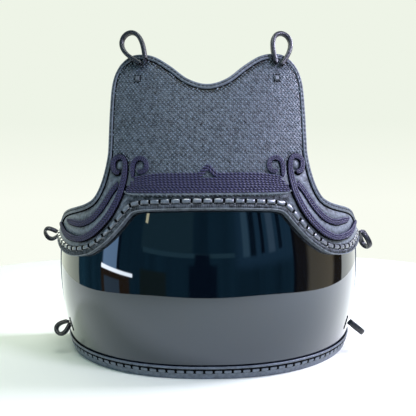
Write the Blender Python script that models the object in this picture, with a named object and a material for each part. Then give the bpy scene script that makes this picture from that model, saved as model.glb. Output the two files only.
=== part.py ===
"""Kendo chest protector (do): a lacquered bowl with a padded leather chest panel laced over it.

Everything lies on one moulded surface, the form of the wearer's chest. A place on that surface is a
chart point: its girth, the distance round from the centre line at the fullest section, and its
height above the floor. Its lift is how far it stands out from the bowl's outer face.

Run it with: blender --background --python part.py
Units are metres, +Z is up, and the front of the protector faces -Y.
"""

import math

import bmesh
import bpy
import numpy as np

MM = 0.001

# The moulded surface. Every level section is one superellipse, scaled to a half width and a depth.
PLAN_POWER = 2.2
FULL_HALF_WIDTH = 215 * MM
FULL_DEPTH = 224.8 * MM
SIDE_WIDEST_HEIGHT = 109 * MM
SIDE_RADIUS = 370 * MM
SIDE_LEAN = 0.10
FRONT_FULLEST_HEIGHT = 80 * MM
FRONT_RADIUS = 290 * MM
CHEST_LEAN = 0.445
CENTRE_TO_SECTION = 128.24 * MM

# Layers, as lifts from the bowl's outer face.
GAP = 0.5 * MM
FLOOR_REACH = 0.05 * MM
BOWL_WALL = 4.0 * MM
LEATHER = 2.0 * MM
PANEL_WALL = 4.5 * MM
WOVEN_WALL = 1.5 * MM
BOWL_FACE = 0.0
PANEL_FACE = GAP + PANEL_WALL
WOVEN_FACE = PANEL_FACE + GAP + WOVEN_WALL

# The bowl's free edge.
BOWL_END_GIRTH = 318 * MM
BOWL_CORNER_RADIUS = 20 * MM

# The rim binding, a leather channel folded round the bowl's lower and rear edges, and its lacing.
RIM_HEIGHT = 15.5 * MM
RIM_LACE_HEIGHT = 9.8 * MM
RIM_LACE_WIDTH = 4.6 * MM
RIM_LACE_PITCH = 11.6 * MM
RIM_END_HEIGHT = 151 * MM

# The chest panel's trims.
EDGE_BINDING_WIDTH = 8.4 * MM
BORDER_WIDTH = 6.2 * MM
CHEST_LACE_INSET = 10.1 * MM
CHEST_LACE_WIDTH = 6.4 * MM
CHEST_LACE_PITCH = 12.6 * MM

# Raised cord work: four level rows, of which the top one has a peak.
CORD_ROW_WIDTH = 5.1 * MM
CORD_ROW_PITCH = 5.8 * MM
CORD_ROW_RISE = 2.0 * MM
LOWEST_CORD_HEIGHT = 212.6 * MM
BAND_RISE = 2.4 * MM

# One row for each rib of the chest panel, from the centre line to the wing's rear end, in
# millimetres: where the rib ends on the outer edge, and where it starts on the lower edge.
PANEL_RIBS = (
    # top_girth, top_height, low_girth, low_height
    (0, 346, 0, 192),
    (26, 353, 20, 192),
    (52, 371, 42, 191.5),
    (76, 384.5, 60, 191),
    (98, 389, 72, 190.5),
    (118, 386.5, 80, 190),
    (136, 372.5, 86, 189.5),
    (144, 350, 91, 188),
    (142.5, 314, 95, 184),
    (139, 281, 99, 179),
    (137, 255, 104, 172.5),
    (142, 226, 110, 165),
    (152, 207, 120, 155.5),
    (167, 199, 134, 146.5),
    (188, 194.5, 152, 138.5),
    (210, 191, 174, 134.5),
    (230, 186, 200, 133.5),
    (245, 177.5, 226, 136.5),
    (262, 172, 250, 141),
    (282, 169.5, 275, 146),
    (296, 168, 292, 149),
)

# One row for each rib of the woven face: top ends follow the panel's, and the lower end runs along
# the cord rows, then up the trunk of the scrolls and out to the armhole.
WOVEN_RIBS = (
    # top_girth, top_height, low_girth, low_height
    (0, 346, 0, 208),
    (26, 353, 26, 208),
    (52, 371, 52, 208),
    (76, 384.5, 74, 208),
    (98, 389, 90, 208),
    (118, 386.5, 100, 211),
    (136, 372.5, 102, 221),
    (144, 350, 102, 234),
    (142.5, 314, 104, 246),
    (139, 281, 115, 254),
    (137, 264, 126, 257),
)

# The bowl's top edge, hidden under the chest panel, and the station of the lower edge below it.
BOWL_RIBS = (
    # top_girth, top_height, low_girth
    (0, 243, 0),
    (50, 243, 50),
    (95, 241, 92),
    (122, 228, 122),
    (140, 205, 144),
    (160, 190, 164),
    (190, 182, 190),
    (220, 177, 220),
    (248, 167, 248),
    (275, 158, 276),
    (300, 155, 298),
)

# Centre lines of the raised bands on each wing, from the rear forward and up the trunk.
OUTER_BAND = (
    # girth, height, width
    (240, 171.5, 5.4),
    (222, 165.4, 7.2),
    (203, 159.4, 8.0),
    (181, 156, 8.4),
    (158, 159.3, 8.8),
    (141, 168.2, 9.2),
    (129, 181, 9.0),
    (118.5, 195.5, 8.6),
    (111.5, 211, 8.0),
    (108, 224, 7.6),
    (106.7, 236, 7.2),
)
OUTER_SCROLL = {"girth": 115.8 * MM, "height": 244.5 * MM, "radius": 8.8 * MM, "width": 6.8 * MM}
INNER_SCROLL = {"girth": 86.6 * MM, "height": 243.5 * MM, "radius": 8.9 * MM, "width": 5.9 * MM}
INNER_BAND = (
    # girth, height, width
    (211, 177, 4.6),
    (201, 175, 6.0),
    (186, 174, 6.5),
    (168, 174.6, 6.6),
    (153.5, 180.4, 6.6),
    (142, 190.6, 6.6),
    (132.8, 203.8, 6.4),
    (125, 216, 6.2),
    (118.5, 223.5, 6.0),
)
INNER_SCROLL_TAIL = (
    # girth, height, width
    (100.8, 223, 3.0),
    (99.4, 230, 5.0),
    (97.6, 237, 6.0),
)

# Leather loops. Each is a strap bent to a teardrop, and stands on the face that carries its root.
# Its length and belly are those of the strap's middle line, in millimetres. It is turned by tilt
# (from upright to outward), sweep (backward) and twist (about its own length), in degrees.
LOOPS = (
    # node, stands_on, girth, height, length, belly, root_gap, strap_wide, strap_thick, tilt, sweep, twist
    ("top_loop_left", WOVEN_FACE, -91, 374, 50, 25.8, 8.7, 7.2, 5.8, 30, 24, -10),
    ("top_loop_right", WOVEN_FACE, 103.5, 372, 47, 23.8, 9.4, 6.0, 6.2, 10, 24, 12),
    ("side_loop_left", PANEL_FACE, -285.4, 151.8, 17.0, 19.6, 9.4, 6.9, 4.1, 91.6, 4, -38),
    ("side_loop_right", PANEL_FACE, 289.5, 151.5, 25.3, 17.6, 6.0, 7.9, 4.4, 158, 12, 71),
    ("waist_loop_left", BOWL_FACE, -226.3, 40.8, 18.6, 13.7, 6.6, 8.0, 5.0, 129, -12, 28),
    ("waist_loop_right", BOWL_FACE, 228, 39.4, 22.5, 11.4, 5.0, 8.0, 4.0, 130, 7, 89),
)
WAIST_THONG = (
    # girth, height, width
    (204, 28.5, 2.4),
    (208.5, 32.2, 3.6),
    (214, 36.5, 3.6),
)
WAIST_THONG_RISE = 1.8 * MM
LOOP_ANCHOR = {"girth": 100 * MM, "height": 354.8 * MM, "side": 8.6 * MM, "thick": 1.3 * MM}
BINDING_END_GIRTH = 252 * MM
BINDING_TAPER = 26 * MM
BORDER_END_GIRTH = 279 * MM


# ---------------------------------------------------------------- the moulded surface


def bend(height, centre, radius, lean):
    """How far a profile falls back at a height: an arc about its centre, then straight at the lean."""
    along = height - centre
    limit = lean * radius
    arc = along * along / (2 * radius)
    straight = limit * limit / (2 * radius) + lean * (along - limit)
    return np.where(along <= limit, arc, straight)


def half_width(height):
    return FULL_HALF_WIDTH - bend(height, SIDE_WIDEST_HEIGHT, SIDE_RADIUS, SIDE_LEAN)


def depth(height):
    return FULL_DEPTH - bend(height, FRONT_FULLEST_HEIGHT, FRONT_RADIUS, CHEST_LEAN)


def section_by_girth(steps=2000):
    """The fullest section as three lists: girth, and the shares of half width and depth there."""
    turn = np.linspace(0, math.pi / 2, steps + 1)
    wide = np.sin(turn) ** (2 / PLAN_POWER)
    deep = np.cos(turn) ** (2 / PLAN_POWER)
    sides = np.hypot(np.diff(wide * FULL_HALF_WIDTH), np.diff(deep * FULL_DEPTH))
    return np.concatenate([[0], np.cumsum(sides)]), wide, deep


SECTION_GIRTH, SECTION_WIDE, SECTION_DEEP = section_by_girth()


def on_surface(chart, lift=0.0):
    """The places in space of chart points, (girth, height) rows, at a lift."""
    chart = np.asarray(chart, float)
    girth, height = chart[..., 0], chart[..., 1]
    wide = np.interp(np.abs(girth), SECTION_GIRTH, SECTION_WIDE) * np.sign(girth)
    deep = np.interp(np.abs(girth), SECTION_GIRTH, SECTION_DEEP)
    half, back = half_width(height), depth(height)
    step = 0.1 * MM
    half_slope = (half_width(height + step) - half_width(height - step)) / (2 * step)
    back_slope = (depth(height + step) - depth(height - step)) / (2 * step)
    power = PLAN_POWER
    normal = np.stack(
        [
            np.sign(wide) * np.abs(wide) ** (power - 1) / half,
            -(deep ** (power - 1)) / back,
            -(np.abs(wide) ** power / half * half_slope + deep**power / back * back_slope),
        ],
        axis=-1,
    )
    normal /= np.linalg.norm(normal, axis=-1, keepdims=True)
    place = np.stack([wide * half, CENTRE_TO_SECTION - deep * back, height], axis=-1)
    return place + np.asarray(lift)[..., None] * normal


# ---------------------------------------------------------------- curves on the chart


def smooth(points, steps):
    """A Catmull-Rom curve through rows of numbers, with so many steps from each row to the next."""
    points = np.asarray(points, float)
    ends = [2 * points[0] - points[1], *points, 2 * points[-1] - points[-2]]
    curve = []
    for before, start, end, after in zip(ends, ends[1:], ends[2:], ends[3:]):
        for share in np.arange(steps) / steps:
            pull = (end - before) * share
            bow = (2 * before - 5 * start + 4 * end - after) * share**2
            twist = (3 * start - before - 3 * end + after) * share**3
            curve.append(start + 0.5 * (pull + bow + twist))
    return np.array([*curve, points[-1]])


def both_sides(half):
    """A right half, from the centre line out, made whole with its mirror image."""
    mirrored = half[:0:-1].copy()
    mirrored[:, 0] *= -1
    return np.concatenate([mirrored, half])


def mirrored(chart, side):
    return chart * np.array([side, 1.0])


def along(curve):
    steps = np.linalg.norm(np.diff(curve[:, :2], axis=0), axis=1)
    return np.concatenate([[0], np.cumsum(steps)])


def respaced(curve, spacing):
    """The curve with even spacing, as near to the given one as fits."""
    far = along(curve)
    at = np.linspace(0, far[-1], max(2, round(far[-1] / spacing)) + 1)
    return np.stack([np.interp(at, far, column) for column in curve.T], axis=1)


def left_normals(curve):
    ahead = np.gradient(curve[:, :2], axis=0)
    ahead /= np.linalg.norm(ahead, axis=1, keepdims=True)
    return np.stack([-ahead[:, 1], ahead[:, 0]], axis=1)


def shifted(curve, distance):
    """The curve moved to its left by a distance."""
    return curve[:, :2] + left_normals(curve) * distance


def rib_ends(table, steps):
    """The top and lower ends of a table of ribs, as two whole curves in metres."""
    ribs = smooth(np.array(table) * MM, steps)
    return both_sides(ribs[:, 0:2]), both_sides(ribs[:, 2:4])


def scroll(shape, start_turn, end_turn, tighten, steps):
    """A curl on the chart about a scroll's eye, from one angle to another, closing by a share."""
    turns = np.radians(np.linspace(start_turn, end_turn, steps))
    radii = shape["radius"] * np.linspace(1, 1 - tighten, steps)
    widths = shape["width"] * np.linspace(1, 1 - tighten, steps)
    girth = shape["girth"] + radii * np.cos(turns)
    height = shape["height"] + radii * np.sin(turns)
    return np.stack([girth, height, widths], axis=1)


# ---------------------------------------------------------------- solids


def material(name, colour, roughness, metallic=0.0):
    made = bpy.data.materials.get(name) or bpy.data.materials.new(name)
    made.use_nodes = True
    shader = made.node_tree.nodes["Principled BSDF"]
    shader.inputs["Base Color"].default_value = (*colour, 1)
    shader.inputs["Roughness"].default_value = roughness
    shader.inputs["Metallic"].default_value = metallic
    return made


def add_object(name, shell, finish):
    bmesh.ops.recalc_face_normals(shell, faces=shell.faces)
    mesh = bpy.data.meshes.new(name)
    shell.to_mesh(mesh)
    shell.free()
    mesh.materials.append(finish)
    mesh.shade_smooth()
    mesh.set_sharp_from_angle(angle=math.radians(40))
    thing = bpy.data.objects.new(name, mesh)
    bpy.context.scene.collection.objects.link(thing)
    return thing


def loft(name, rings, finish):
    """A closed solid through rings of equally many points, with flat caps."""
    shell = bmesh.new()
    loops = [[shell.verts.new(point) for point in ring] for ring in rings]
    for near, far in zip(loops, loops[1:]):
        for i in range(len(near)):
            j = (i + 1) % len(near)
            shell.faces.new((near[i], near[j], far[j], far[i]))
    shell.faces.new(loops[0][::-1])
    shell.faces.new(loops[-1])
    return add_object(name, shell, finish)


def sheet(name, top, low, rows, lift, thick, finish):
    """A sheet of leather or shell between two chart curves, from its lift outward by its thickness."""
    shell = bmesh.new()
    shares = np.linspace(0, 1, rows + 1)
    layers = []
    for height in (lift, lift + thick):
        grid = on_surface([low + (top - low) * share for share in shares], height)
        layers.append([[shell.verts.new(point) for point in line] for line in grid])
    inner, outer = layers
    columns = len(low)
    for grid in (inner, outer):
        for near, far in zip(grid, grid[1:]):
            for i in range(columns - 1):
                shell.faces.new((near[i], near[i + 1], far[i + 1], far[i]))
    for row in (0, rows):
        for i in range(columns - 1):
            shell.faces.new((inner[row][i], inner[row][i + 1], outer[row][i + 1], outer[row][i]))
    for column in (0, columns - 1):
        for near, far in ((row, row + 1) for row in range(rows)):
            shell.faces.new(
                (inner[near][column], inner[far][column], outer[far][column], outer[near][column])
            )
    return add_object(name, shell, finish)


def swept(name, path, profile, lift, finish, swell=None, standing=False):
    """A strip along a chart path. Its profile is (across, rise) points, scaled by an optional swell.
    A standing strip has its underside flat on the floor."""
    sides = left_normals(path)
    rings = []
    for i, (place, side) in enumerate(zip(path[:, :2], sides)):
        wide, high = swell(i) if swell else (1.0, 1.0)
        ring = np.array([place + side * across * wide for across, _ in profile])
        rises = np.array([lift + rise * high for _, rise in profile])
        points = on_surface(ring, rises)
        if standing:
            points[ring[:, 1] < FLOOR_REACH, 2] = 0
            points[:, 2] = np.maximum(points[:, 2], 0)
        rings.append(points)
    return loft(name, rings, finish)


def domed(width, rise):
    """The profile of a low cushion, as a strip of couched cord or a rolled strap has."""
    half = width / 2
    return ((-half, 0), (half, 0), (half * 0.78, rise * 0.8), (0, rise), (-half * 0.78, rise * 0.8))


def band(name, centre_line, lift, rise, finish):
    """A raised band whose width is the third column of its centre line."""
    return swept(name, centre_line, domed(1.0, rise), lift, finish, lambda i: (centre_line[i, 2], 1))


def laced(name, path, width, lift, pitch, finish):
    """A thong that runs over and under: one crest for each pitch, drawn in where it dips into a hole."""
    steps = 2
    path = respaced(path, pitch / steps)
    crest, dip = 1.0, 0.35

    def swell(i):
        return (1.0, crest) if i % steps else (0.8, dip)

    half = width / 2
    profile = ((-half, 0), (half, 0), (half * 0.7, LEATHER), (-half * 0.7, LEATHER))
    return swept(name, path, profile, lift, finish, swell)


# ---------------------------------------------------------------- the bowl


def bowl_edge():
    """The bowl's lower edge as the floor sees it, then up its rear edge: the right half."""
    corner = BOWL_CORNER_RADIUS
    centre = np.array([BOWL_END_GIRTH - corner, corner])
    turns = np.radians(np.linspace(-90, 0, 7))
    arc = centre + corner * np.stack([np.cos(turns), np.sin(turns)], axis=1)
    floor = np.stack([np.linspace(0, centre[0], 22), np.zeros(22)], axis=1)
    rear = np.stack([np.full(8, BOWL_END_GIRTH), np.linspace(corner, RIM_END_HEIGHT, 8)], axis=1)
    return np.concatenate([floor[:-1], arc, rear[1:]])


def build_bowl(lacquer):
    ribs = smooth(np.array(BOWL_RIBS) * MM, 2)
    inset = LEATHER + GAP
    centre = BOWL_END_GIRTH - BOWL_CORNER_RADIUS
    corner = BOWL_CORNER_RADIUS - inset
    low = np.stack([ribs[:, 2], np.full(len(ribs), inset)], axis=1)
    turns = np.radians(np.linspace(-90, 0, 6))[1:]
    arc = np.stack([centre + corner * np.cos(turns), BOWL_CORNER_RADIUS + corner * np.sin(turns)], axis=1)
    end = BOWL_END_GIRTH - inset
    top_end = np.stack([np.linspace(ribs[-1, 0], end, 6)[1:], np.full(5, ribs[-1, 1])], axis=1)
    top = both_sides(np.concatenate([ribs[:, 0:2], top_end]))
    sheet("bowl", top, both_sides(np.concatenate([low, arc])), 9, -BOWL_WALL, BOWL_WALL, lacquer)


def build_rim(leather, thong):
    edge = both_sides(bowl_edge())
    outside = LEATHER + GAP
    inside = -BOWL_WALL - 2 * GAP - LEATHER
    channel = (
        (0, inside),
        (RIM_HEIGHT, inside),
        (RIM_HEIGHT, inside + LEATHER),
        (LEATHER, inside + LEATHER),
        (LEATHER, GAP),
        (RIM_HEIGHT, GAP),
        (RIM_HEIGHT, outside),
        (0, outside),
    )
    swept("rim_binding", edge, channel, 0.0, leather, standing=True)
    lace_path = respaced(shifted(respaced(edge, 2 * MM), RIM_LACE_HEIGHT), RIM_LACE_PITCH)
    half = RIM_LACE_WIDTH / 2
    ridge = ((-half, 0), (half, 0), (0, LEATHER * 0.6))
    swept("rim_lacing", lace_path, ridge, outside + GAP, thong)


# ---------------------------------------------------------------- the chest panel


def build_panel(leather):
    top, low = rib_ends(PANEL_RIBS, 2)
    top = shifted(top, -(EDGE_BINDING_WIDTH + 2 * GAP))
    sheet("chest_panel", top, low, 4, GAP, PANEL_WALL, leather)


def build_woven_face(cloth):
    top, low = rib_ends(WOVEN_RIBS, 2)
    top = shifted(top, -(EDGE_BINDING_WIDTH + 2 * GAP))
    sheet("woven_face", top, low, 4, PANEL_FACE + GAP, WOVEN_WALL, cloth)


def build_edge_binding(leather):
    """The binding is swept along its inner edge, so that it narrows from outside towards its ends."""
    top, _ = rib_ends(PANEL_RIBS, 3)
    inner_edge = respaced(shifted(top, -EDGE_BINDING_WIDTH), 10 * MM)
    path = inner_edge[np.abs(inner_edge[:, 0]) < BINDING_END_GIRTH]
    far = along(path)
    to_end = np.minimum(far, far[-1] - far)
    shares = 0.3 + 0.7 * np.sin(np.clip(to_end / BINDING_TAPER, 0, 1) * math.pi / 2)
    width, high = EDGE_BINDING_WIDTH, WOVEN_FACE
    rolled = (
        (0, GAP),
        (width, GAP),
        (width, high * 0.7),
        (width * 0.78, high),
        (width * 0.22, high),
        (0, high * 0.86),
    )
    swept("edge_binding", path, rolled, 0.0, leather, lambda i: (shares[i], 1))


def build_lower_border(leather, thong):
    _, low = rib_ends(PANEL_RIBS, 4)
    low = low[np.abs(low[:, 0]) < BORDER_END_GIRTH]
    lift = PANEL_FACE + GAP
    flat = ((0, 0), (BORDER_WIDTH, 0), (BORDER_WIDTH, LEATHER * 0.8), (0, LEATHER * 0.8))
    swept("lower_border", respaced(low, 9 * MM), flat, lift, leather)
    lace_path = shifted(respaced(low, 3 * MM), CHEST_LACE_INSET)
    laced("chest_lacing", lace_path, CHEST_LACE_WIDTH, lift, CHEST_LACE_PITCH, thong)


def cord_row(row):
    """The right half of one level cord row, as girth, height and width. The rows close up towards
    the trunk of the scrolls, and the top one has a peak on the centre line."""
    girth = np.array([0, 5, 10, 16, 24, 40, 58, 72, 84, 98 - 1.4 * row]) * MM
    closing = 0.36 * np.clip((girth - 58 * MM) / (40 * MM), 0, 1) ** 1.5
    height = LOWEST_CORD_HEIGHT + row * CORD_ROW_PITCH * (1 - closing)
    if row == 3:
        height[:5] += np.array([11, 9.2, 5.2, 1.6, 0.1]) * MM
    return np.stack([girth, height, CORD_ROW_WIDTH * (1 - closing)], axis=1)


def build_cord_rows(cord):
    for row in range(4):
        band(f"cord_row_{row + 1}", both_sides(cord_row(row)), WOVEN_FACE + GAP, CORD_ROW_RISE, cord)


def build_bands(side, word, cord):
    on_panel = PANEL_FACE + GAP
    outer = smooth(np.array(OUTER_BAND) * MM, 2)
    curl = scroll(OUTER_SCROLL, 172, -70, 0.18, 11)
    inner = smooth(np.array(INNER_BAND) * MM, 2)
    tail = np.array(INNER_SCROLL_TAIL) * MM
    inner_curl = scroll(INNER_SCROLL, 6, 312, 0.16, 13)
    for name, line, lift in (
        ("wing_band_outer", np.concatenate([outer, curl]), on_panel + WOVEN_WALL + GAP),
        ("wing_band_inner", inner, on_panel),
        ("scroll_inner", np.concatenate([tail, inner_curl]), WOVEN_FACE + GAP),
    ):
        line = line * np.array([side, 1, 1])
        band(f"{name}_{word}", line, lift, BAND_RISE, cord)


# ---------------------------------------------------------------- leather loops


def strap(name, points, flat_side, wide, thick, finish):
    """A strap through points in space. Its width lies along one constant direction."""
    ahead = np.gradient(points, axis=0)
    ahead /= np.linalg.norm(ahead, axis=1, keepdims=True)
    out = np.cross(ahead, flat_side)
    out /= np.linalg.norm(out, axis=1, keepdims=True)
    turns = np.radians(np.arange(8) * 45 + 22.5)
    rings = []
    for place, thin in zip(points, out):
        ring = [place + flat_side * wide / 2 * math.cos(a) + thin * thick / 2 * math.sin(a) for a in turns]
        rings.append(ring)
    return loft(name, rings, finish)


def turned_axes(side, tilt, sweep, twist):
    """A loop's own directions: along it, across its belly, and square to its plane."""
    tilt, sweep, twist = (math.radians(angle) for angle in (tilt, sweep, twist))
    up = np.array([side * math.sin(tilt), math.sin(sweep), math.cos(tilt) * math.cos(sweep)])
    up /= np.linalg.norm(up)
    facing = np.array([0.0, -1.0, 0.0])
    facing -= up * (facing @ up)
    facing /= np.linalg.norm(facing)
    square = facing * math.cos(twist) + np.cross(up, facing) * math.sin(twist)
    return up, np.cross(square, up), square


def build_loop(row, leather):
    node, stands_on, girth, height, length, belly, root_gap, wide, thick, tilt, sweep, twist = row
    up, across, square = turned_axes(math.copysign(1, girth), tilt, sweep, twist)
    chart = np.array([girth, height]) * MM
    root = on_surface(chart, stands_on)
    outward = on_surface(chart, 1.0) - on_surface(chart, 0.0)
    turns = np.linspace(0, 2 * math.pi, 15)
    bulge = np.sin(turns) * np.sin(turns / 2) ** 1.2
    spread = bulge / bulge.max() * (belly - root_gap * 0.3) / 2 + (1 - turns / math.pi) * root_gap / 2
    rise = (1 - np.cos(turns)) / 2 * length
    points = root + (np.outer(spread, across) + np.outer(rise, up)) * MM
    reach = abs(square @ outward) * wide / 2 + abs(across @ outward) * (thick + root_gap) / 2
    points += outward * (GAP + reach * MM)
    strap(node, points, square, wide * MM, thick * MM, leather)


def build_waist_thong(side, word, leather):
    line = np.array(WAIST_THONG) * MM * np.array([side, 1, 1])
    band(f"waist_thong_{word}", line, GAP, WAIST_THONG_RISE, leather)


def build_anchor(side, word, leather):
    half = LOOP_ANCHOR["side"] / 2
    girth = LOOP_ANCHOR["girth"] + np.linspace(-half, half, 3)
    top = np.stack([girth, np.full(3, LOOP_ANCHOR["height"] + half)], axis=1)
    low = top - np.array([0, LOOP_ANCHOR["side"]])
    pair = [mirrored(curve, side) for curve in (top, low)]
    sheet(f"loop_anchor_{word}", *pair, 2, WOVEN_FACE + GAP, LOOP_ANCHOR["thick"], leather)


def main():
    for thing in list(bpy.data.objects):
        bpy.data.objects.remove(thing)
    lacquer = material("black lacquer", (0.004, 0.005, 0.008), 0.06)
    leather = material("navy deerskin", (0.06, 0.075, 0.1), 0.55)
    thong = material("rawhide thong", (0.05, 0.06, 0.08), 0.35)
    cloth = material("woven cotton", (0.07, 0.09, 0.12), 0.8)
    cord = material("purple cord", (0.045, 0.035, 0.085), 0.6)
    build_bowl(lacquer)
    build_rim(leather, thong)
    build_panel(leather)
    build_woven_face(cloth)
    build_edge_binding(leather)
    build_lower_border(leather, thong)
    build_cord_rows(cord)
    for side, word in ((-1, "left"), (1, "right")):
        build_bands(side, word, cord)
        build_anchor(side, word, leather)
        build_waist_thong(side, word, thong)
    for row in LOOPS:
        build_loop(row, thong)


main()
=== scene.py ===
"""A kendo chest protector (do) in its finishes: lacquered bowl, laced chest panel, cords and loops.

The file is laid out as a Blender add-on and run as a script. Each operator builds one group of
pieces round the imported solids, and the panel in the 3D view's sidebar lists them.

Every piece lies on one moulded surface, the form of the wearer's chest. A chart point on it is a
girth, the distance round from the centre line at the fullest section, and a height. Its lift is how
far it stands out from the bowl's outer face. Lengths are metres, +Z is up and the front faces -Y.
"""

import math

import bmesh
import bpy
import numpy as np
from mathutils import Matrix, Vector


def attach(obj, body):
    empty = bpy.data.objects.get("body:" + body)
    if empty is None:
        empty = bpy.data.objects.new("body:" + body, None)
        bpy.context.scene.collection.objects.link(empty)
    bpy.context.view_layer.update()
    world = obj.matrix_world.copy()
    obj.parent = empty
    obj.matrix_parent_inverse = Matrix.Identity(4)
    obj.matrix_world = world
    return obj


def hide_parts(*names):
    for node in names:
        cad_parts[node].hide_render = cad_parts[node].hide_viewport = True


bl_info = {
    "name": "Kendo chest protector",
    "version": (1, 0, 0),
    "blender": (4, 5, 0),
    "location": "3D View > Sidebar > Protector",
    "description": "Builds a kendo chest protector in its finishes, with a plain stage",
    "category": "Add Mesh",
}

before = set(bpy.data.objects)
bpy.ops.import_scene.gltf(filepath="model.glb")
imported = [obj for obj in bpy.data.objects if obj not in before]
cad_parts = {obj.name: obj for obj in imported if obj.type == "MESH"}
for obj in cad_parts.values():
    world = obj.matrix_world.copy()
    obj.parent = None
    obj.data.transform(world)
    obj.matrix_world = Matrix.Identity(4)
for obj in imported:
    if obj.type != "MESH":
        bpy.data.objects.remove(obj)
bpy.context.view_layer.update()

MM = 0.001
SIDES = ((-1, "left"), (1, "right"))

# The moulded surface: every level section is one superellipse, scaled to a half width and a depth.
PLAN_POWER = 2.2
FULL_HALF_WIDTH = 215 * MM
FULL_DEPTH = 224.8 * MM
SIDE_WIDEST_HEIGHT = 109 * MM
SIDE_RADIUS = 370 * MM
SIDE_LEAN = 0.10
FRONT_FULLEST_HEIGHT = 80 * MM
FRONT_RADIUS = 290 * MM
CHEST_LEAN = 0.445
CENTRE_TO_SECTION = 128.24 * MM

# Layers, as lifts from the bowl's outer face.
GAP = 0.5 * MM
BOWL_WALL = 4.0 * MM
LEATHER = 2.0 * MM
PANEL_FACE = 5.0 * MM
WOVEN_FACE = 7.0 * MM
CORD_CREST = 9.9 * MM
BAND_CREST = 10.1 * MM

# The bowl's free edge and the leather channel round it.
BOWL_END_GIRTH = 318 * MM
BOWL_CORNER_RADIUS = 20 * MM
RIM_END_HEIGHT = 151 * MM
RIM_LACE_HEIGHT = 9.2 * MM

# The chest panel's trims.
EDGE_BINDING_WIDTH = 7.8 * MM
BORDER_WIDTH = 5.7 * MM
CHEST_LACE_INSET = 9.2 * MM
FOLD_HEIGHT = 209.6 * MM
BINDING_END_GIRTH = 252 * MM
BINDING_TAPER = 26 * MM
BORDER_END_GIRTH = 279 * MM
CORD_ROW_PITCH = 5.8 * MM
CORD_WIDTH = 5.7 * MM
LOWEST_CORD_HEIGHT = 213.2 * MM
CORD_ROW_ENDS = (100.4, 98.8, 95.2, 91)
CORD_PEAK = (10.2, 8.2, 5.4, 2.7, 0.7, 0)

# The chest panel's ribs from the centre line to the wing's rear end, in millimetres: where each
# ends on the outer edge, and where it starts on the lower edge.
PANEL_RIBS = (
    # top_girth, top_height, low_girth, low_height
    (0, 346, 0, 193.2),
    (26, 353, 20, 193.2),
    (52, 371, 42, 192.7),
    (76, 384.5, 60, 192.2),
    (98, 389, 72, 191.7),
    (118, 386.5, 80, 191.2),
    (136, 372.5, 86, 190.2),
    (144, 350, 91.4, 188.2),
    (142.5, 314, 95.8, 184),
    (139, 281, 100.2, 179),
    (137, 255, 105.6, 173),
    (142, 226, 112, 166.4),
    (152, 207, 121.8, 157.2),
    (167, 199, 135.2, 147.8),
    (188, 194.5, 152.6, 139),
    (210, 191, 174, 134.5),
    (230, 186, 200, 133.5),
    (245, 177.5, 226, 136.5),
    (262, 172, 250, 141),
    (282, 169.5, 275, 146),
    (296, 168, 292, 149),
)

# The woven face's ribs: they end with the panel's, and start along the cord rows and the scrolls.
WOVEN_RIBS = (
    # top_girth, top_height, low_girth, low_height
    (0, 346, 0, 208),
    (26, 353, 26, 208),
    (52, 371, 52, 208),
    (76, 384.5, 74, 208),
    (98, 389, 90, 208),
    (118, 386.5, 100, 211),
    (136, 372.5, 102, 221),
    (144, 350, 102, 234),
    (142.5, 314, 104, 246),
    (139, 281, 115, 254),
    (137, 264, 126, 257),
)

# The bowl's top edge, hidden under the chest panel, and the station of the lower edge below it.
BOWL_RIBS = (
    # top_girth, top_height, low_girth
    (0, 243, 0),
    (50, 243, 50),
    (95, 241, 92),
    (122, 228, 122),
    (140, 205, 144),
    (160, 190, 164),
    (190, 182, 190),
    (220, 177, 220),
    (248, 167, 248),
    (275, 158, 276),
    (300, 155, 298),
)

# Centre lines of the raised bands on each wing: from the rear forward, up the trunk and round the
# scroll. A width takes in the dark line of painted shade along the band's lower side.
OUTER_BAND = (
    # girth, height, width
    (240, 169.8, 4.6),
    (228, 164.6, 7),
    (214.6, 159.3, 8.6),
    (198.7, 156.2, 8.6),
    (181.5, 154.8, 7.8),
    (170.6, 155, 7.6),
    (159.5, 157.5, 8.2),
    (146.5, 163.2, 8.8),
    (135.5, 171.3, 9.2),
    (127.8, 178.5, 9.4),
    (122.6, 184.5, 9.6),
    (118.4, 190.5, 9.6),
    (114.9, 196.3, 9.5),
    (111.8, 202.5, 9.3),
    (109.3, 208.5, 9.2),
    (107.4, 215, 9.2),
    (106.2, 221, 9.2),
    (105.2, 227, 9.2),
    (104.6, 233, 8.4),
    (104.4, 238.5, 7.6),
    (104.9, 243.5, 7.2),
    (106.4, 248.6, 7),
    (109.3, 252.6, 6.6),
    (113.5, 254.2, 6.6),
    (118.1, 253.7, 7.1),
    (122.2, 251.5, 7.8),
    (124.4, 248, 8.2),
    (124.3, 243.7, 8.2),
    (122.9, 239.4, 7.6),
    (120, 236, 6.8),
    (116.2, 234.6, 6.2),
    (112.8, 235.8, 3.6),
)
INNER_BAND = (
    # girth, height, width
    (214, 176, 3.5),
    (206.5, 174.2, 6.5),
    (197.5, 174, 8),
    (184.7, 173.2, 7.9),
    (173.6, 173.2, 7.9),
    (160.5, 176.2, 7.8),
    (149.5, 181.6, 8.4),
    (139.8, 189.8, 8.6),
    (134.6, 195.5, 8.6),
    (130.6, 201, 8.4),
    (126.8, 206.5, 8.4),
    (122.5, 212.5, 8.2),
    (117.6, 218, 8),
    (113.2, 222, 7),
)
INNER_SCROLL = (
    # girth, height, width
    (92.8, 228.6, 3.2),
    (93.2, 232, 5.6),
    (94, 236, 6.8),
    (94.3, 240, 7.2),
    (93.8, 244.3, 7.2),
    (92.2, 248, 7),
    (89, 250.6, 6.8),
    (85.2, 251.3, 6.4),
    (81, 250, 6.4),
    (77.8, 247, 6.6),
    (76.3, 242.8, 6.8),
    (76.9, 239, 6.8),
    (79.6, 236.1, 6.4),
    (83.6, 235.6, 5.6),
    (86.8, 237.2, 3.2),
)
BAND_LINE = 1.0 * MM

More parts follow.
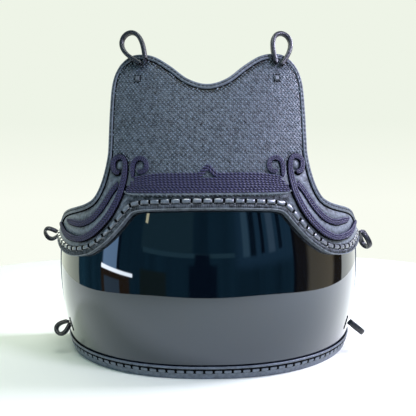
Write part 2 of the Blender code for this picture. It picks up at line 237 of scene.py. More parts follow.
# The leather bosses in the eyes of the scrolls.
BOSSES = (
    # girth, height, half_wide, half_tall, rise
    (114.3, 244.6, 6.2, 6.8, 2.6),
    (85.2, 243.3, 5.8, 5.2, 1.8),
)

# The leather gusset between the inner scroll, the cord rows and the trunk.
GUSSET = (
    # inner_girth, outer_girth, height
    (98.4, 99.8, 250),
    (98, 99.6, 244),
    (97.6, 99.4, 238),
    (95.5, 99.6, 234.5),
    (91, 100, 231),
    (89, 100.5, 227),
    (89.5, 101, 223.5),
    (93, 101.5, 219.5),
)

# Leather loops, in millimetres and degrees. Each is a strap bent to a teardrop. It is turned by
# tilt (from upright to outward), sweep (backward) and twist (about its own length).
LOOPS = {
    "top": (
        # side, stands_on, girth, height, length, belly, root_gap, wide, thick, tilt, sweep, twist
        ("left", WOVEN_FACE, -91, 374, 50, 25.8, 8.7, 7.2, 5.8, 30, 24, -10),
        ("right", WOVEN_FACE, 103.5, 372, 47, 23.8, 9.4, 6.0, 6.2, 10, 24, 12),
    ),
    "side": (
        ("left", PANEL_FACE, -285.4, 151.8, 17.0, 19.6, 9.4, 6.9, 4.1, 91.6, 4, -38),
        ("right", PANEL_FACE, 289.5, 151.5, 25.3, 17.6, 6.0, 7.9, 4.4, 158, 12, 71),
    ),
    "waist": (
        ("left", 0.0, -226.3, 40.8, 18.6, 13.7, 6.6, 8.0, 5.0, 129, -12, 28),
        ("right", 0.0, 228, 39.4, 22.5, 11.4, 5.0, 8.0, 4.0, 130, 7, 89),
    ),
}
WAIST_THONG = (
    # girth, height, width
    (216, 31.8, 2.6),
    (221, 40.8, 4.2),
    (224.9, 47.3, 4.2),
)
LOOP_ANCHOR = {"girth": 100 * MM, "height": 354.8 * MM, "side": 8.6 * MM}


# ---------------------------------------------------------------- the moulded surface


def bend(height, centre, radius, lean):
    """How far a profile falls back at a height: an arc about its centre, then straight at the lean."""
    rise = height - centre
    limit = lean * radius
    arc = rise * rise / (2 * radius)
    straight = limit * limit / (2 * radius) + lean * (rise - limit)
    return np.where(rise <= limit, arc, straight)


def half_width(height):
    """The section's half width at a height."""
    return FULL_HALF_WIDTH - bend(height, SIDE_WIDEST_HEIGHT, SIDE_RADIUS, SIDE_LEAN)


def depth(height):
    """The section's depth at a height, from the front to its widest line."""
    return FULL_DEPTH - bend(height, FRONT_FULLEST_HEIGHT, FRONT_RADIUS, CHEST_LEAN)


def section_by_girth(steps=2000):
    """The fullest section as three lists: girth, and the shares of half width and depth there."""
    turn = np.linspace(0, math.pi / 2, steps + 1)
    wide = np.sin(turn) ** (2 / PLAN_POWER)
    deep = np.cos(turn) ** (2 / PLAN_POWER)
    sides = np.hypot(np.diff(wide * FULL_HALF_WIDTH), np.diff(deep * FULL_DEPTH))
    return np.concatenate([[0], np.cumsum(sides)]), wide, deep


SECTION_GIRTH, SECTION_WIDE, SECTION_DEEP = section_by_girth()


def on_surface(chart, lift=0.0):
    """The places in space of chart points, (girth, height) rows, at a lift."""
    chart = np.asarray(chart, float)
    girth, height = chart[..., 0], chart[..., 1]
    wide = np.interp(np.abs(girth), SECTION_GIRTH, SECTION_WIDE) * np.sign(girth)
    deep = np.interp(np.abs(girth), SECTION_GIRTH, SECTION_DEEP)
    half, back = half_width(height), depth(height)
    step = 0.1 * MM
    half_slope = (half_width(height + step) - half_width(height - step)) / (2 * step)
    back_slope = (depth(height + step) - depth(height - step)) / (2 * step)
    power = PLAN_POWER
    normal = np.stack(
        [
            np.sign(wide) * np.abs(wide) ** (power - 1) / half,
            -(deep ** (power - 1)) / back,
            -(np.abs(wide) ** power / half * half_slope + deep**power / back * back_slope),
        ],
        axis=-1,
    )
    normal /= np.linalg.norm(normal, axis=-1, keepdims=True)
    place = np.stack([wide * half, CENTRE_TO_SECTION - deep * back, height], axis=-1)
    return place + np.asarray(lift)[..., None] * normal


# ---------------------------------------------------------------- curves on the chart


def smooth(points, steps):
    """A Catmull-Rom curve through rows of numbers, with so many steps from each row to the next."""
    points = np.asarray(points, float)
    ends = [2 * points[0] - points[1], *points, 2 * points[-1] - points[-2]]
    curve = []
    for before, start, end, after in zip(ends, ends[1:], ends[2:], ends[3:]):
        for share in np.arange(steps) / steps:
            pull = (end - before) * share
            bow = (2 * before - 5 * start + 4 * end - after) * share**2
            twist = (3 * start - before - 3 * end + after) * share**3
            curve.append(start + 0.5 * (pull + bow + twist))
    return np.array([*curve, points[-1]])


def both_sides(half):
    """A right half, from the centre line out, made whole with its mirror image."""
    mirrored = half[:0:-1].copy()
    mirrored[:, 0] *= -1
    return np.concatenate([mirrored, half])


def along(curve):
    """The distance along a curve to each of its points."""
    steps = np.linalg.norm(np.diff(curve[:, :2], axis=0), axis=1)
    return np.concatenate([[0], np.cumsum(steps)])


def respaced(curve, spacing):
    """The curve with even spacing, as near to the given one as fits."""
    far = along(curve)
    at = np.linspace(0, far[-1], max(2, round(far[-1] / spacing)) + 1)
    return np.stack([np.interp(at, far, column) for column in curve.T], axis=1)


def left_normals(curve):
    """The directions square to a chart curve, to its left, at each of its points."""
    ahead = np.gradient(curve[:, :2], axis=0)
    ahead /= np.linalg.norm(ahead, axis=1, keepdims=True)
    return np.stack([-ahead[:, 1], ahead[:, 0]], axis=1)


def shifted(curve, distance):
    """The curve moved to its left by a distance, or by one for each of its points."""
    return curve[:, :2] + left_normals(curve) * np.reshape(distance, (-1, 1))


def rib_ends(table, steps):
    """The top and lower ends of a table of ribs, as two whole curves in metres."""
    ribs = np.array(table) * MM
    ribs = smooth(np.concatenate([ribs[:0:-1] * (-1, 1, -1, 1), ribs]), steps)
    return ribs[:, 0:2], ribs[:, 2:4]


def near_line(chart, line):
    """The distance of each chart point from a line of chart points."""
    flat = chart.reshape(-1, 2)
    best = np.full(len(flat), np.inf)
    for start, end in zip(line[:-1, :2], line[1:, :2]):
        run = end - start
        share = np.clip((flat - start) @ run / (run @ run), 0, 1)
        best = np.minimum(best, np.hypot(*(flat - start - share[:, None] * run).T))
    return best.reshape(chart.shape[:-1])


def full_turn(count):
    """So many even turns about a centre, in radians."""
    return np.linspace(0, 2 * math.pi, count, endpoint=False)


def rounded_square(turns, power):
    """Points of a square with round corners and a half side of 1, at turns about its centre. It is a
    circle at power 1, and squarer below."""
    return [np.sign(part) * np.abs(part) ** power for part in (np.cos(turns), np.sin(turns))]


# ---------------------------------------------------------------- meshes


class Shape:
    """Closed bodies gathered into one mesh. A point's crown sets its colour between its material's
    two: from 0, deep in a hollow, painted shade, to 1, on a crest, worn light and painted highlight."""

    def __init__(self):
        self.points, self.faces, self.crowns, self.finishes = [], [], [], []
        self.count = 0

    def add(self, points, faces, crown=1.0, finish=0):
        """Adds a body. A finish is the place of its material in the piece's list."""
        points = np.asarray(points, float).reshape(-1, 3)
        self.points.append(points)
        self.crowns.append(np.broadcast_to(np.asarray(crown, float).reshape(-1), len(points)))
        self.faces.extend([tuple(corner + self.count for corner in face) for face in faces])
        self.finishes.extend(finish if isinstance(finish, list) else [finish] * len(faces))
        self.count += len(points)


def grid_faces(rows, columns, wrap=False):
    """Faces of a grid of points, whose columns may close into rings."""
    index = np.arange(rows * columns).reshape(rows, columns)
    left, right = (index, np.roll(index, -1, axis=1)) if wrap else (index[:, :-1], index[:, 1:])
    return np.stack([left[:-1], right[:-1], right[1:], left[1:]], axis=-1).reshape(-1, 4).tolist()


def grid_edge(rows, columns):
    """The points round the edge of a grid, in order."""
    index = np.arange(rows * columns).reshape(rows, columns)
    return np.concatenate([index[0], index[1:, -1], index[-1, -2::-1], index[-2:0:-1, 0]])


def add_slab(shape, chart, inner, outer, crown=1.0, finishes=(0, 0, 0)):
    """A sheet over a grid of chart points, between two lifts. Finishes are those of the outer face,
    the edges and the inner face."""
    rows, columns = chart.shape[:2]
    inner = np.broadcast_to(inner, (rows, columns))
    outer = np.broadcast_to(outer, (rows, columns))
    crown = np.broadcast_to(crown, (rows, columns)).reshape(-1)
    count = rows * columns
    points = np.concatenate([on_surface(chart, outer), on_surface(chart, inner)]).reshape(-1, 3)
    front = grid_faces(rows, columns)
    edge = grid_edge(rows, columns)
    border = [(a, b, b + count, a + count) for a, b in zip(edge, np.roll(edge, -1))]
    back = [tuple(corner + count for corner in reversed(face)) for face in front]
    crown = np.concatenate([crown, np.full(count, crown.mean())])
    finish_list = [finishes[0]] * len(front) + [finishes[1]] * len(border) + [finishes[2]] * len(back)
    shape.add(points, front + border + back, crown, finish_list)


def add_patch(shape, chart, lifts, crown, finish=0):
    """A small pillow over a grid of chart points, closed underneath by one face."""
    rows, columns = chart.shape[:2]
    faces = grid_faces(rows, columns) + [tuple(grid_edge(rows, columns)[::-1].tolist())]
    shape.add(on_surface(chart, lifts), faces, np.asarray(crown).reshape(-1), finish)


def add_tube(shape, rings, crown=1.0, finish=0):
    """A closed tube through rings of points."""
    rings = np.asarray(rings, float)
    rows, columns = rings.shape[:2]
    caps = [tuple(range(columns)), tuple(range((rows - 1) * columns, rows * columns))[::-1]]
    shape.add(rings, grid_faces(rows, columns, wrap=True) + caps, crown, finish)


def swept(path, profile, swell=None):
    """Rings along a chart path. A profile is (across, lift) points; swell is a width share each."""
    sides = left_normals(path)
    widths = np.ones(len(path)) if swell is None else swell
    across, lift = np.asarray(profile, float).T
    chart = path[:, None, :2] + sides[:, None] * (across[None, :, None] * widths[:, None, None])
    return chart, np.broadcast_to(lift, chart.shape[:2])


def add_strip(shape, path, low, high, inner, outer):
    """A strip of square section along a chart path, between two distances to the path's left and
    two lifts."""
    corners = [(low, inner), (high, inner), (high, outer), (low, outer)]
    add_tube(shape, on_surface(*swept(path, corners)))


def add_piece(name, shape, materials, nodes=(), sharp_angle=40):
    """Makes the mesh object with its materials, by key, lets it ride on the frame and stand for its
    solids."""
    mesh = bpy.data.meshes.new(name)
    mesh.from_pydata(np.concatenate(shape.points).tolist(), [], shape.faces)
    mesh.attributes.new("crown", "FLOAT", "POINT").data.foreach_set("value", np.concatenate(shape.crowns))
    mesh.polygons.foreach_set("material_index", shape.finishes)
    shell = bmesh.new()
    shell.from_mesh(mesh)
    bmesh.ops.recalc_face_normals(shell, faces=shell.faces)
    shell.to_mesh(mesh)
    shell.free()
    for key in materials:
        mesh.materials.append(material(key))
    mesh.shade_smooth()
    mesh.set_sharp_from_angle(angle=math.radians(sharp_angle))
    piece = bpy.data.objects.new(name, mesh)
    bpy.context.scene.collection.objects.link(piece)
    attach(piece, "root")
    if nodes:
        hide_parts(*nodes)
    return piece


# ---------------------------------------------------------------- materials


def linear(hex_colour):
    """An sRGB hex colour as linear red, green, blue and alpha."""
    channels = [int(hex_colour[i : i + 2], 16) / 255 for i in (1, 3, 5)]
    return (*[c / 12.92 if c <= 0.04045 else ((c + 0.055) / 1.055) ** 2.4 for c in channels], 1.0)


def add_node(tree, kind, inputs=None, **settings):
    """Adds a node with its settings; its inputs are values, or other nodes' outputs to link. Inputs 6
    and 7 of a mix are its two colours."""
    node = tree.nodes.new(kind)
    for name, value in settings.items():
        setattr(node, name, value)
    for key, value in (inputs or {}).items():
        if isinstance(value, bpy.types.NodeSocket):
            tree.links.new(value, node.inputs[key])
        else:
            node.inputs[key].default_value = value
    return node


def new_material(name):
    """A bare material, with its tree, its shader and its object coordinates."""
    made = bpy.data.materials.new(name)
    made.use_nodes = True
    tree = made.node_tree
    place = add_node(tree, "ShaderNodeTexCoord").outputs["Object"]
    return made, tree, tree.nodes["Principled BSDF"], place


def set_inputs(shader, **values):
    """Sets values on the shader's own sockets."""
    for name, value in values.items():
        shader.inputs[name.replace("_", " ")].default_value = value


def shade_and_wear_colour(tree, place, low, high, blotch_mm, blotch):
    """A colour from painted shade deep in the hollows to wear and painted highlight on the crests,
    with slow blotches.
    """
    crown = add_node(tree, "ShaderNodeAttribute", attribute_name="crown").outputs["Fac"]
    cloud = add_node(
        tree, "ShaderNodeTexNoise", {"Vector": place, "Scale": 1 / (blotch_mm * MM), "Detail": 3.0}
    )
    noise_range = {"From Min": 0.3, "From Max": 0.7, "To Min": -blotch, "To Max": blotch}
    spread = add_node(tree, "ShaderNodeMapRange", {"Value": cloud.outputs["Fac"], **noise_range})
    share = add_node(
        tree, "ShaderNodeMath", {0: crown, 1: spread.outputs[0]}, operation="ADD", use_clamp=True
    )
    mixed = add_node(
        tree,
        "ShaderNodeMix",
        {"Factor": share.outputs[0], 6: linear(low), 7: linear(high)},
        data_type="RGBA",
    )
    return mixed.outputs[2]


def mirror_lacquer(settings):
    """Urethane lacquer, sprayed and buffed over a moulded fibre shell. The eye gets a black mirror
    whose reflections waver a little over the shell's slow undulation."""
    made, tree, shader, place = new_material("buffed black urethane lacquer")
    wave = add_node(tree, "ShaderNodeTexNoise", {"Vector": place, "Scale": 1 / (90 * MM), "Detail": 1.0})
    undulation = add_node(
        tree, "ShaderNodeBump", {"Height": wave.outputs["Fac"], "Distance": 0.25 * MM, "Strength": 1.0}
    )
    haze = add_node(tree, "ShaderNodeTexNoise", {"Vector": place, "Scale": 1 / (35 * MM), "Detail": 4.0})
    polish_range = {"From Min": 0.35, "From Max": 0.75, "To Min": 0.015, "To Max": 0.05}
    polish = add_node(tree, "ShaderNodeMapRange", {"Value": haze.outputs["Fac"], **polish_range})
    tree.links.new(undulation.outputs[0], shader.inputs["Normal"])
    tree.links.new(polish.outputs[0], shader.inputs["Roughness"])
    set_inputs(shader, Base_Color=(*settings.lacquer, 1), IOR=settings.lacquer_ior)
    set_inputs(shader, Coat_Weight=1.0, Coat_Roughness=0.012, Coat_IOR=settings.lacquer_ior)
    set_inputs(shader, Specular_Tint=linear("#c8e2ff"))
    return made


def brushed_sealer():
    """Black sealer brushed over the shell's fibre inside. The eye gets a dull, slightly uneven coat."""
    made, tree, shader, place = new_material("brushed black sealer")
    brush = add_node(tree, "ShaderNodeMapping", {"Vector": place, "Scale": (1.0, 1.0, 7.0)})
    streak = add_node(
        tree, "ShaderNodeTexNoise", {"Vector": brush.outputs[0], "Scale": 1 / (12 * MM), "Detail": 5.0}
    )
    ridge = add_node(
        tree, "ShaderNodeBump", {"Height": streak.outputs["Fac"], "Distance": 0.5 * MM, "Strength": 0.6}
    )
    tone = add_node(
        tree,
        "ShaderNodeMix",
        {"Factor": streak.outputs["Fac"], 6: linear("#101214"), 7: linear("#24282b")},
        data_type="RGBA",
    )
    tree.links.new(ridge.outputs[0], shader.inputs["Normal"])
    tree.links.new(tone.outputs[2], shader.inputs["Base Color"])
    set_inputs(shader, Roughness=0.42)
    return made


HIDE_BLOTCH_MM = 4.5


def hide(name, low, high, grain_mm, grain_depth_mm, roughness, blotch, gloss_level=0.5, wax=0.0):
    """Dyed hide, from its hollows' colour to its crests'. Its pores are drawn a little coarser than
    real ones so that they show."""
    made, tree, shader, place = new_material(name)
    pores = add_node(
        tree,
        "ShaderNodeTexVoronoi",
        {"Vector": place, "Scale": 1 / (grain_mm * MM), "Randomness": 1.0},
        feature="SMOOTH_F1",
    )
    creases = add_node(
        tree, "ShaderNodeTexNoise", {"Vector": place, "Scale": 1 / (3.2 * grain_mm * MM), "Detail": 5.0}
    )
    height = add_node(
        tree, "ShaderNodeMath", {0: pores.outputs["Distance"], 1: creases.outputs["Fac"]}, operation="ADD"
    )
    relief = add_node(
        tree,
        "ShaderNodeBump",
        {"Height": height.outputs[0], "Distance": grain_depth_mm * MM, "Strength": 0.9},
    )
    worn_range = {"From Min": 0.3, "From Max": 0.7, "To Min": roughness - 0.08, "To Max": roughness + 0.1}
    gloss = add_node(tree, "ShaderNodeMapRange", {"Value": creases.outputs["Fac"], **worn_range})
    dye = shade_and_wear_colour(tree, place, low, high, HIDE_BLOTCH_MM, blotch)
    tree.links.new(dye, shader.inputs["Base Color"])
    tree.links.new(relief.outputs[0], shader.inputs["Normal"])
    tree.links.new(gloss.outputs[0], shader.inputs["Roughness"])
    set_inputs(shader, IOR=1.48, Specular_IOR_Level=gloss_level, Coat_Weight=wax, Coat_Roughness=0.16)
    return made


def spun(name, low, high, thread_mm, roughness, blotch_mm=25, blotch=0.05):
    """Spun fibre. Fine fibres are drawn as a short noise, coarser than real ones so that they show."""
    made, tree, shader, place = new_material(name)
    fibre = add_node(
        tree, "ShaderNodeTexNoise", {"Vector": place, "Scale": 1 / (thread_mm * MM), "Detail": 4.0}
    )
    fuzz = add_node(
        tree, "ShaderNodeBump", {"Height": fibre.outputs["Fac"], "Distance": 0.5 * thread_mm * MM}
    )
    dye = shade_and_wear_colour(tree, place, low, high, blotch_mm, blotch)
    tree.links.new(dye, shader.inputs["Base Color"])
    tree.links.new(fuzz.outputs[0], shader.inputs["Normal"])
    set_inputs(shader, Roughness=roughness, IOR=1.5)
    return made


def plain_paper(name, white):
    """Matt white paper, rolled smooth. The eye gets a pale floor with soft shade."""
    made, tree, shader, place = new_material(name)
    tooth = add_node(tree, "ShaderNodeTexNoise", {"Vector": place, "Scale": 1 / (2 * MM), "Detail": 3.0})
    relief = add_node(tree, "ShaderNodeBump", {"Height": tooth.outputs["Fac"], "Distance": 0.05 * MM})
    tree.links.new(relief.outputs[0], shader.inputs["Normal"])
    set_inputs(shader, Base_Color=(*white, 1), Roughness=0.9)
    return made


MATERIALS = {}


def material(key):
    """A material of the protector, made the first time that it is asked for."""
    settings = bpy.context.scene.chest_protector
    # Hides: hollow and crest colours, grain width and depth in mm, roughness, blotch, gloss, wax. Spun
    # ones: the same two colours, thread width in mm, roughness, and blotch width in mm where it differs.
    makers = {
        "lacquer": lambda: mirror_lacquer(settings.bowl),
        "sealer": brushed_sealer,
        # Deerskin, smoked, dyed and glazed: soft and fine grained. Its high places are worn grey and
        # painted highlight, its hollows painted shade.
        "deerskin": lambda: hide("glazed navy deerskin", "#0c1217", "#7e868e", 1.3, 0.6, 0.38, 0.34, 0.4),
        # The same hide folded flesh side in for the bindings, darker where it is creased, as painted
        # shade.
        "binding": lambda: hide("folded navy deerskin", "#0a0d11", "#78818c", 1.2, 0.24, 0.34, 0.2, 0.4),
        # Rawhide thong, waxed and pulled tight: hard, smooth and glossy. Its crests are lighter, a
        # painted highlight, and its hollows painted shade.
        "thong": lambda: hide("waxed rawhide thong", "#07090c", "#7a7f86", 1.6, 0.06, 0.26, 0.15, 1, 1),
        # Rolled strap leather, black brown, darker along its seam, with painted shade between the plies
        # of its twisted thongs.
        "strap": lambda: hide("rolled strap leather", "#050507", "#2c2d33", 1.1, 0.16, 0.3, 0.2, 0.5),
        # Near black painted shade: the channel and holes that the thongs lie in, and the dark lines along
        # the bands, the binding's edge and the loop patches.
        "channel": lambda: hide("near black painted shade", "#020304", "#040506", 1.4, 0.1, 0.85, 0.1, 0.08),
        # Indigo cotton in a basket weave: painted shade between the threads, worn pale and painted
        # highlight on them.
        "weave": lambda: spun("indigo cotton basket weave", "#000101", "#8798a6", 0.45, 0.34, 7),
        # Twisted silk cord, sewn down: a dark violet, with a painted highlight along each ply and
        # painted shade between the plies.
        "cord": lambda: spun("couched violet silk cord", "#010003", "#45426c", 0.4, 0.4),
        # Cotton sewing thread, waxed and drawn tight: a thin dark line that hardly shines.
        "thread": lambda: spun("waxed black sewing thread", "#030405", "#16191f", 0.3, 0.6),
    }
    if key not in MATERIALS:
        MATERIALS[key] = makers[key]()
    return MATERIALS[key]


# ---------------------------------------------------------------- the bowl


def bowl_edge(spacing):
    """The bowl's lower edge as the floor sees it, then up its rear edge: the right half."""
    corner = BOWL_CORNER_RADIUS
    centre = np.array([BOWL_END_GIRTH - corner, corner])
    turns = np.radians(np.linspace(-90, 0, 25))
    arc = centre + corner * np.stack([np.cos(turns), np.sin(turns)], axis=1)
    floor = respaced(np.array([[0.0, 0.0], [centre[0], 0.0]]), spacing)
    rear = respaced(np.array([[BOWL_END_GIRTH, corner], [BOWL_END_GIRTH, RIM_END_HEIGHT]]), spacing)
    return np.concatenate([floor[:-1], arc, rear[1:]])


def build_bowl(settings):
    """The bowl's one wall, lacquered outside and sealed inside. Its free edge stands in the rim's
    channel, so it ends that leather's thickness short of the rim's outside."""
    ribs = smooth(np.array(BOWL_RIBS) * MM, 12)
    inset = LEATHER + GAP
    corner = BOWL_CORNER_RADIUS - inset
    centre = np.array([BOWL_END_GIRTH - BOWL_CORNER_RADIUS, BOWL_CORNER_RADIUS])
    turns = np.radians(np.linspace(-90, 0, 17))[1:]
    arc = centre + corner * np.stack([np.cos(turns), np.sin(turns)], axis=1)
    low = np.concatenate([np.stack([ribs[:, 2], np.full(len(ribs), inset)], axis=1), arc])
    end_girths = np.linspace(ribs[-1, 0], BOWL_END_GIRTH - inset, len(turns) + 1)[1:]
    top_end = np.stack([end_girths, np.full(len(turns), ribs[-1, 1])], axis=1)
    top = np.concatenate([ribs[:, 0:2], top_end])
    low, top = both_sides(low), both_sides(top)
    shares = np.linspace(0, 1, settings.rows)[:, None, None]
    shape = Shape()
    add_slab(shape, low + (top - low) * shares, -BOWL_WALL, 0.0, finishes=(0, 1, 1))
    add_piece("lacquered_bowl", shape, ["lacquer", "sealer"], ["bowl"])


STITCH_SUNK = 0.4 * MM


def stitch(shape, centre, forward, side, length, width, lift, crest, dip=0.16, ends=0.0):
    """One thong stitch on the chart. It swells where it leaves a hole and where it goes in again,
    dips between, and is a little narrower at its ends. Ends is how much of its height it keeps
    there, squared. Its foot is sunk below the lift that it stands on."""
    across = np.linspace(-1, 1, 7)
    ahead = np.sin(np.linspace(-math.pi / 2, math.pi / 2, 11))
    swell = np.clip(1 - (1 - ends) * np.abs(ahead) ** 4, 0, 1) ** 0.5
    body = swell - dip * np.exp(-((ahead / 0.42) ** 2))
    waist = 0.8 + 0.2 * np.sqrt(np.clip(1 - ahead**2, 0, 1))
    roll = np.clip(1 - np.abs(across) ** 2.6, 0, 1) ** 0.5
    places = (
        centre
        + forward * (ahead * length / 2)[:, None, None]
        + side * (across[None, :] * waist[:, None] * width / 2)[:, :, None]
    )
    height = body[:, None] * roll[None, :]
    # Its colour runs from painted shade at its edges and ends to a painted highlight on top.
    add_patch(shape, places, lift - STITCH_SUNK + crest * height, 0.1 + 0.9 * height)


def stitch_places(path, pitch):
    """Where an odd number of stitches lies along a chart path: their centres and ways ahead, then
    the same of the gaps between them."""
    far = along(path)[-1]
    path = respaced(path, far / (4 * (2 * round((far / pitch - 1) / 2) + 1)))
    sides = left_normals(path)
    places = [(path[i, :2], np.array([sides[i, 1], -sides[i, 0]]), sides[i]) for i in range(len(path))]
    return places[2::4], places[4:-1:4]


def stitch_run(shape, path, pitch, length, width, lift, crest):
    """Stitches at an even pitch along a chart path."""
    for centre, forward, side in stitch_places(path, pitch)[0]:
        stitch(shape, centre, forward, side, length, width, lift, crest)


def build_rim(settings):
    """The leather channel that the bowl's edge stands in, and the thong laced along its outer leg."""
    edge = both_sides(bowl_edge(2 * MM))
    inside = (-BOWL_WALL - 2 * GAP - LEATHER) / MM
    leather, gap = LEATHER / MM, GAP / MM
    face = gap + leather
    bead, bead_height, bead_lift = 1.35, 14.1, 1.75
    turns = np.radians(np.linspace(110, -110, 12))
    # Height and lift in millimetres: up the inner leg, down inside the channel and up again, round
    # the bead on the outer leg, and down that leg's face to the floor.
    section = [
        (0, inside + 0.4),
        (0.4, inside),
        (15.1, inside),
        (15.5, inside + 0.5),
        (15.5, inside + leather - 0.5),
        (15.1, inside + leather),
        (2, inside + leather),
        (2, gap),
        (12.6, gap),
        *[(bead_height + bead * math.sin(a), bead_lift + bead * math.cos(a)) for a in turns],
        (12.2, 1.5),
        (11.6, 2.35),
        (11.2, face),
        (0.8, face),
        (0.2, 2.3),
        (0, 1.7),
    ]
    chart, lifts = swept(edge, np.array(section) * MM)
    rings = on_surface(chart, lifts)
    # What touches the floor lies flat on it.
    rings[..., 2] = np.maximum(np.where(chart[..., 1] < 0.05 * MM, 0, rings[..., 2]), 0)
    # The outer leg, which starts at the bead's first point, is coloured lighter than the inside.
    crown = np.where(np.arange(len(section)) >= 9, 0.75, 0.4)
    # The crease under the bead is painted shade.
    crown[-6:-4] = 0.0  # the crease under the bead
    shape = Shape()
    add_tube(shape, rings, np.tile(crown, len(edge)))
    add_piece("rim_channel", shape, ["binding"], ["rim_binding"], 50)

    face *= MM
    line = respaced(edge, 2 * MM)
    # A near black strip of painted shade under the stitches: it shows as a dark outline round them and as
    # dark holes between them.
    bed_line = shifted(line, RIM_LACE_HEIGHT + 0.2 * MM)
    bed = Shape()
    add_strip(bed, bed_line, -2.1 * MM, 2.6 * MM, face - STITCH_SUNK, face + 0.1 * MM)
    add_piece("rim_lace_painted_shade", bed, ["channel"])
    laces = Shape()
    pitch = settings.rim_pitch
    stitch_run(laces, shifted(line, RIM_LACE_HEIGHT), pitch, pitch - 1.9 * MM, 4.7 * MM, face, 1.0 * MM)
    add_piece("rim_thong_stitches", laces, ["binding"], ["rim_lacing"])


# ---------------------------------------------------------------- the chest panel


def band_lines(side):
    """The raised bands of one wing, by name, as chart lines with widths."""
    tables = {
        "wing_band_outer": OUTER_BAND,
        "wing_band_inner": INNER_BAND,
        "scroll_inner": INNER_SCROLL,
    }
    return {name: smooth(np.array(table) * MM, 7) * (side, 1, 1) for name, table in tables.items()}


def lace_path():
    """The chart line of the thong along the panel's lower edge."""
    _, low = rib_ends(PANEL_RIBS, 12)
    low = low[np.abs(low[:, 0]) < BORDER_END_GIRTH]
    return shifted(respaced(low, 1 * MM), CHEST_LACE_INSET)


def bump(far, reach):
    """A smooth bump, from 1 at no distance down to about a third at its reach."""
    return np.exp(-((far / reach) ** 2))


def build_panel(settings):
    """The padded leather panel. Its padding stands up between the bands and is drawn down along
    them, along the lacing and at the edges. Its leather is coloured pale beside the bands, a painted
    highlight on the ridges there, and toward the wing tips, painted light, and stays dark just above
    the lacing, as painted shade under the fold."""
    top, low = rib_ends(PANEL_RIBS, 14)
    top = shifted(top, -(EDGE_BINDING_WIDTH + 2 * GAP))
    rows = np.linspace(0, 1, settings.rows)[:, None, None]
    chart = low + (top - low) * rows
    girth = np.abs(chart[..., 0])
    puff = np.full(chart.shape[:2], settings.puff)
    wing_from, wing_over = 160 * MM, 70 * MM
    # The leather is coloured lighter toward the wing tips: painted light.
    crown = 0.45 + 0.45 * np.clip((girth - wing_from) / wing_over, 0, 1)
    for side, _ in SIDES:
        lines = band_lines(side)
        for name in ("wing_band_outer", "wing_band_inner"):
            far = near_line(chart, respaced(lines[name], 6 * MM))
            puff -= settings.puff * bump(far, 5.5 * MM)
            # A painted highlight along the ridge of padding on each side of a band.
            crown += 0.28 * bump(far - 8 * MM, 2.2 * MM)
    lace_far = near_line(chart, respaced(lace_path(), 8 * MM))
    puff -= settings.puff * bump(lace_far, 6 * MM)
    # Painted shade in a strip just above the lacing, under the fold, on the front.
    crown -= 0.35 * bump(lace_far - 6 * MM, 2.4 * MM) * (girth < 100 * MM)
    edge_slope = 6 * MM
    edge = np.minimum(along_edge(chart), edge_slope) / edge_slope
    outer = PANEL_FACE + np.maximum(puff, -0.2 * MM) * edge
    shape = Shape()
    add_slab(shape, chart, GAP, outer, np.clip(crown, 0, 1), (0, 1, 1))
    panel = add_piece("padded_chest_panel", shape, ["deerskin", "binding"], ["chest_panel"])


def along_edge(chart):
    """The distance of each point of a chart grid from the grid's nearer edge across its rows."""
    steps = np.linalg.norm(np.diff(chart, axis=0), axis=-1)
    far = np.concatenate([np.zeros((1, chart.shape[1])), np.cumsum(steps, axis=0)])
    return np.minimum(far, far[-1] - far)


def inside_outline(chart, outline):
    """Which chart points lie inside a closed outline of chart points."""
    flat = chart.reshape(-1, 2)
    inside = np.zeros(len(flat), bool)
    for start, end in zip(outline, np.roll(outline, -1, axis=0)):
        if start[1] == end[1]:
            continue
        crosses = (start[1] > flat[:, 1]) != (end[1] > flat[:, 1])
        at = start[0] + (flat[:, 1] - start[1]) * (end[0] - start[0]) / (end[1] - start[1])
        inside ^= crosses & (flat[:, 0] < at)
    return inside.reshape(chart.shape[:-1])


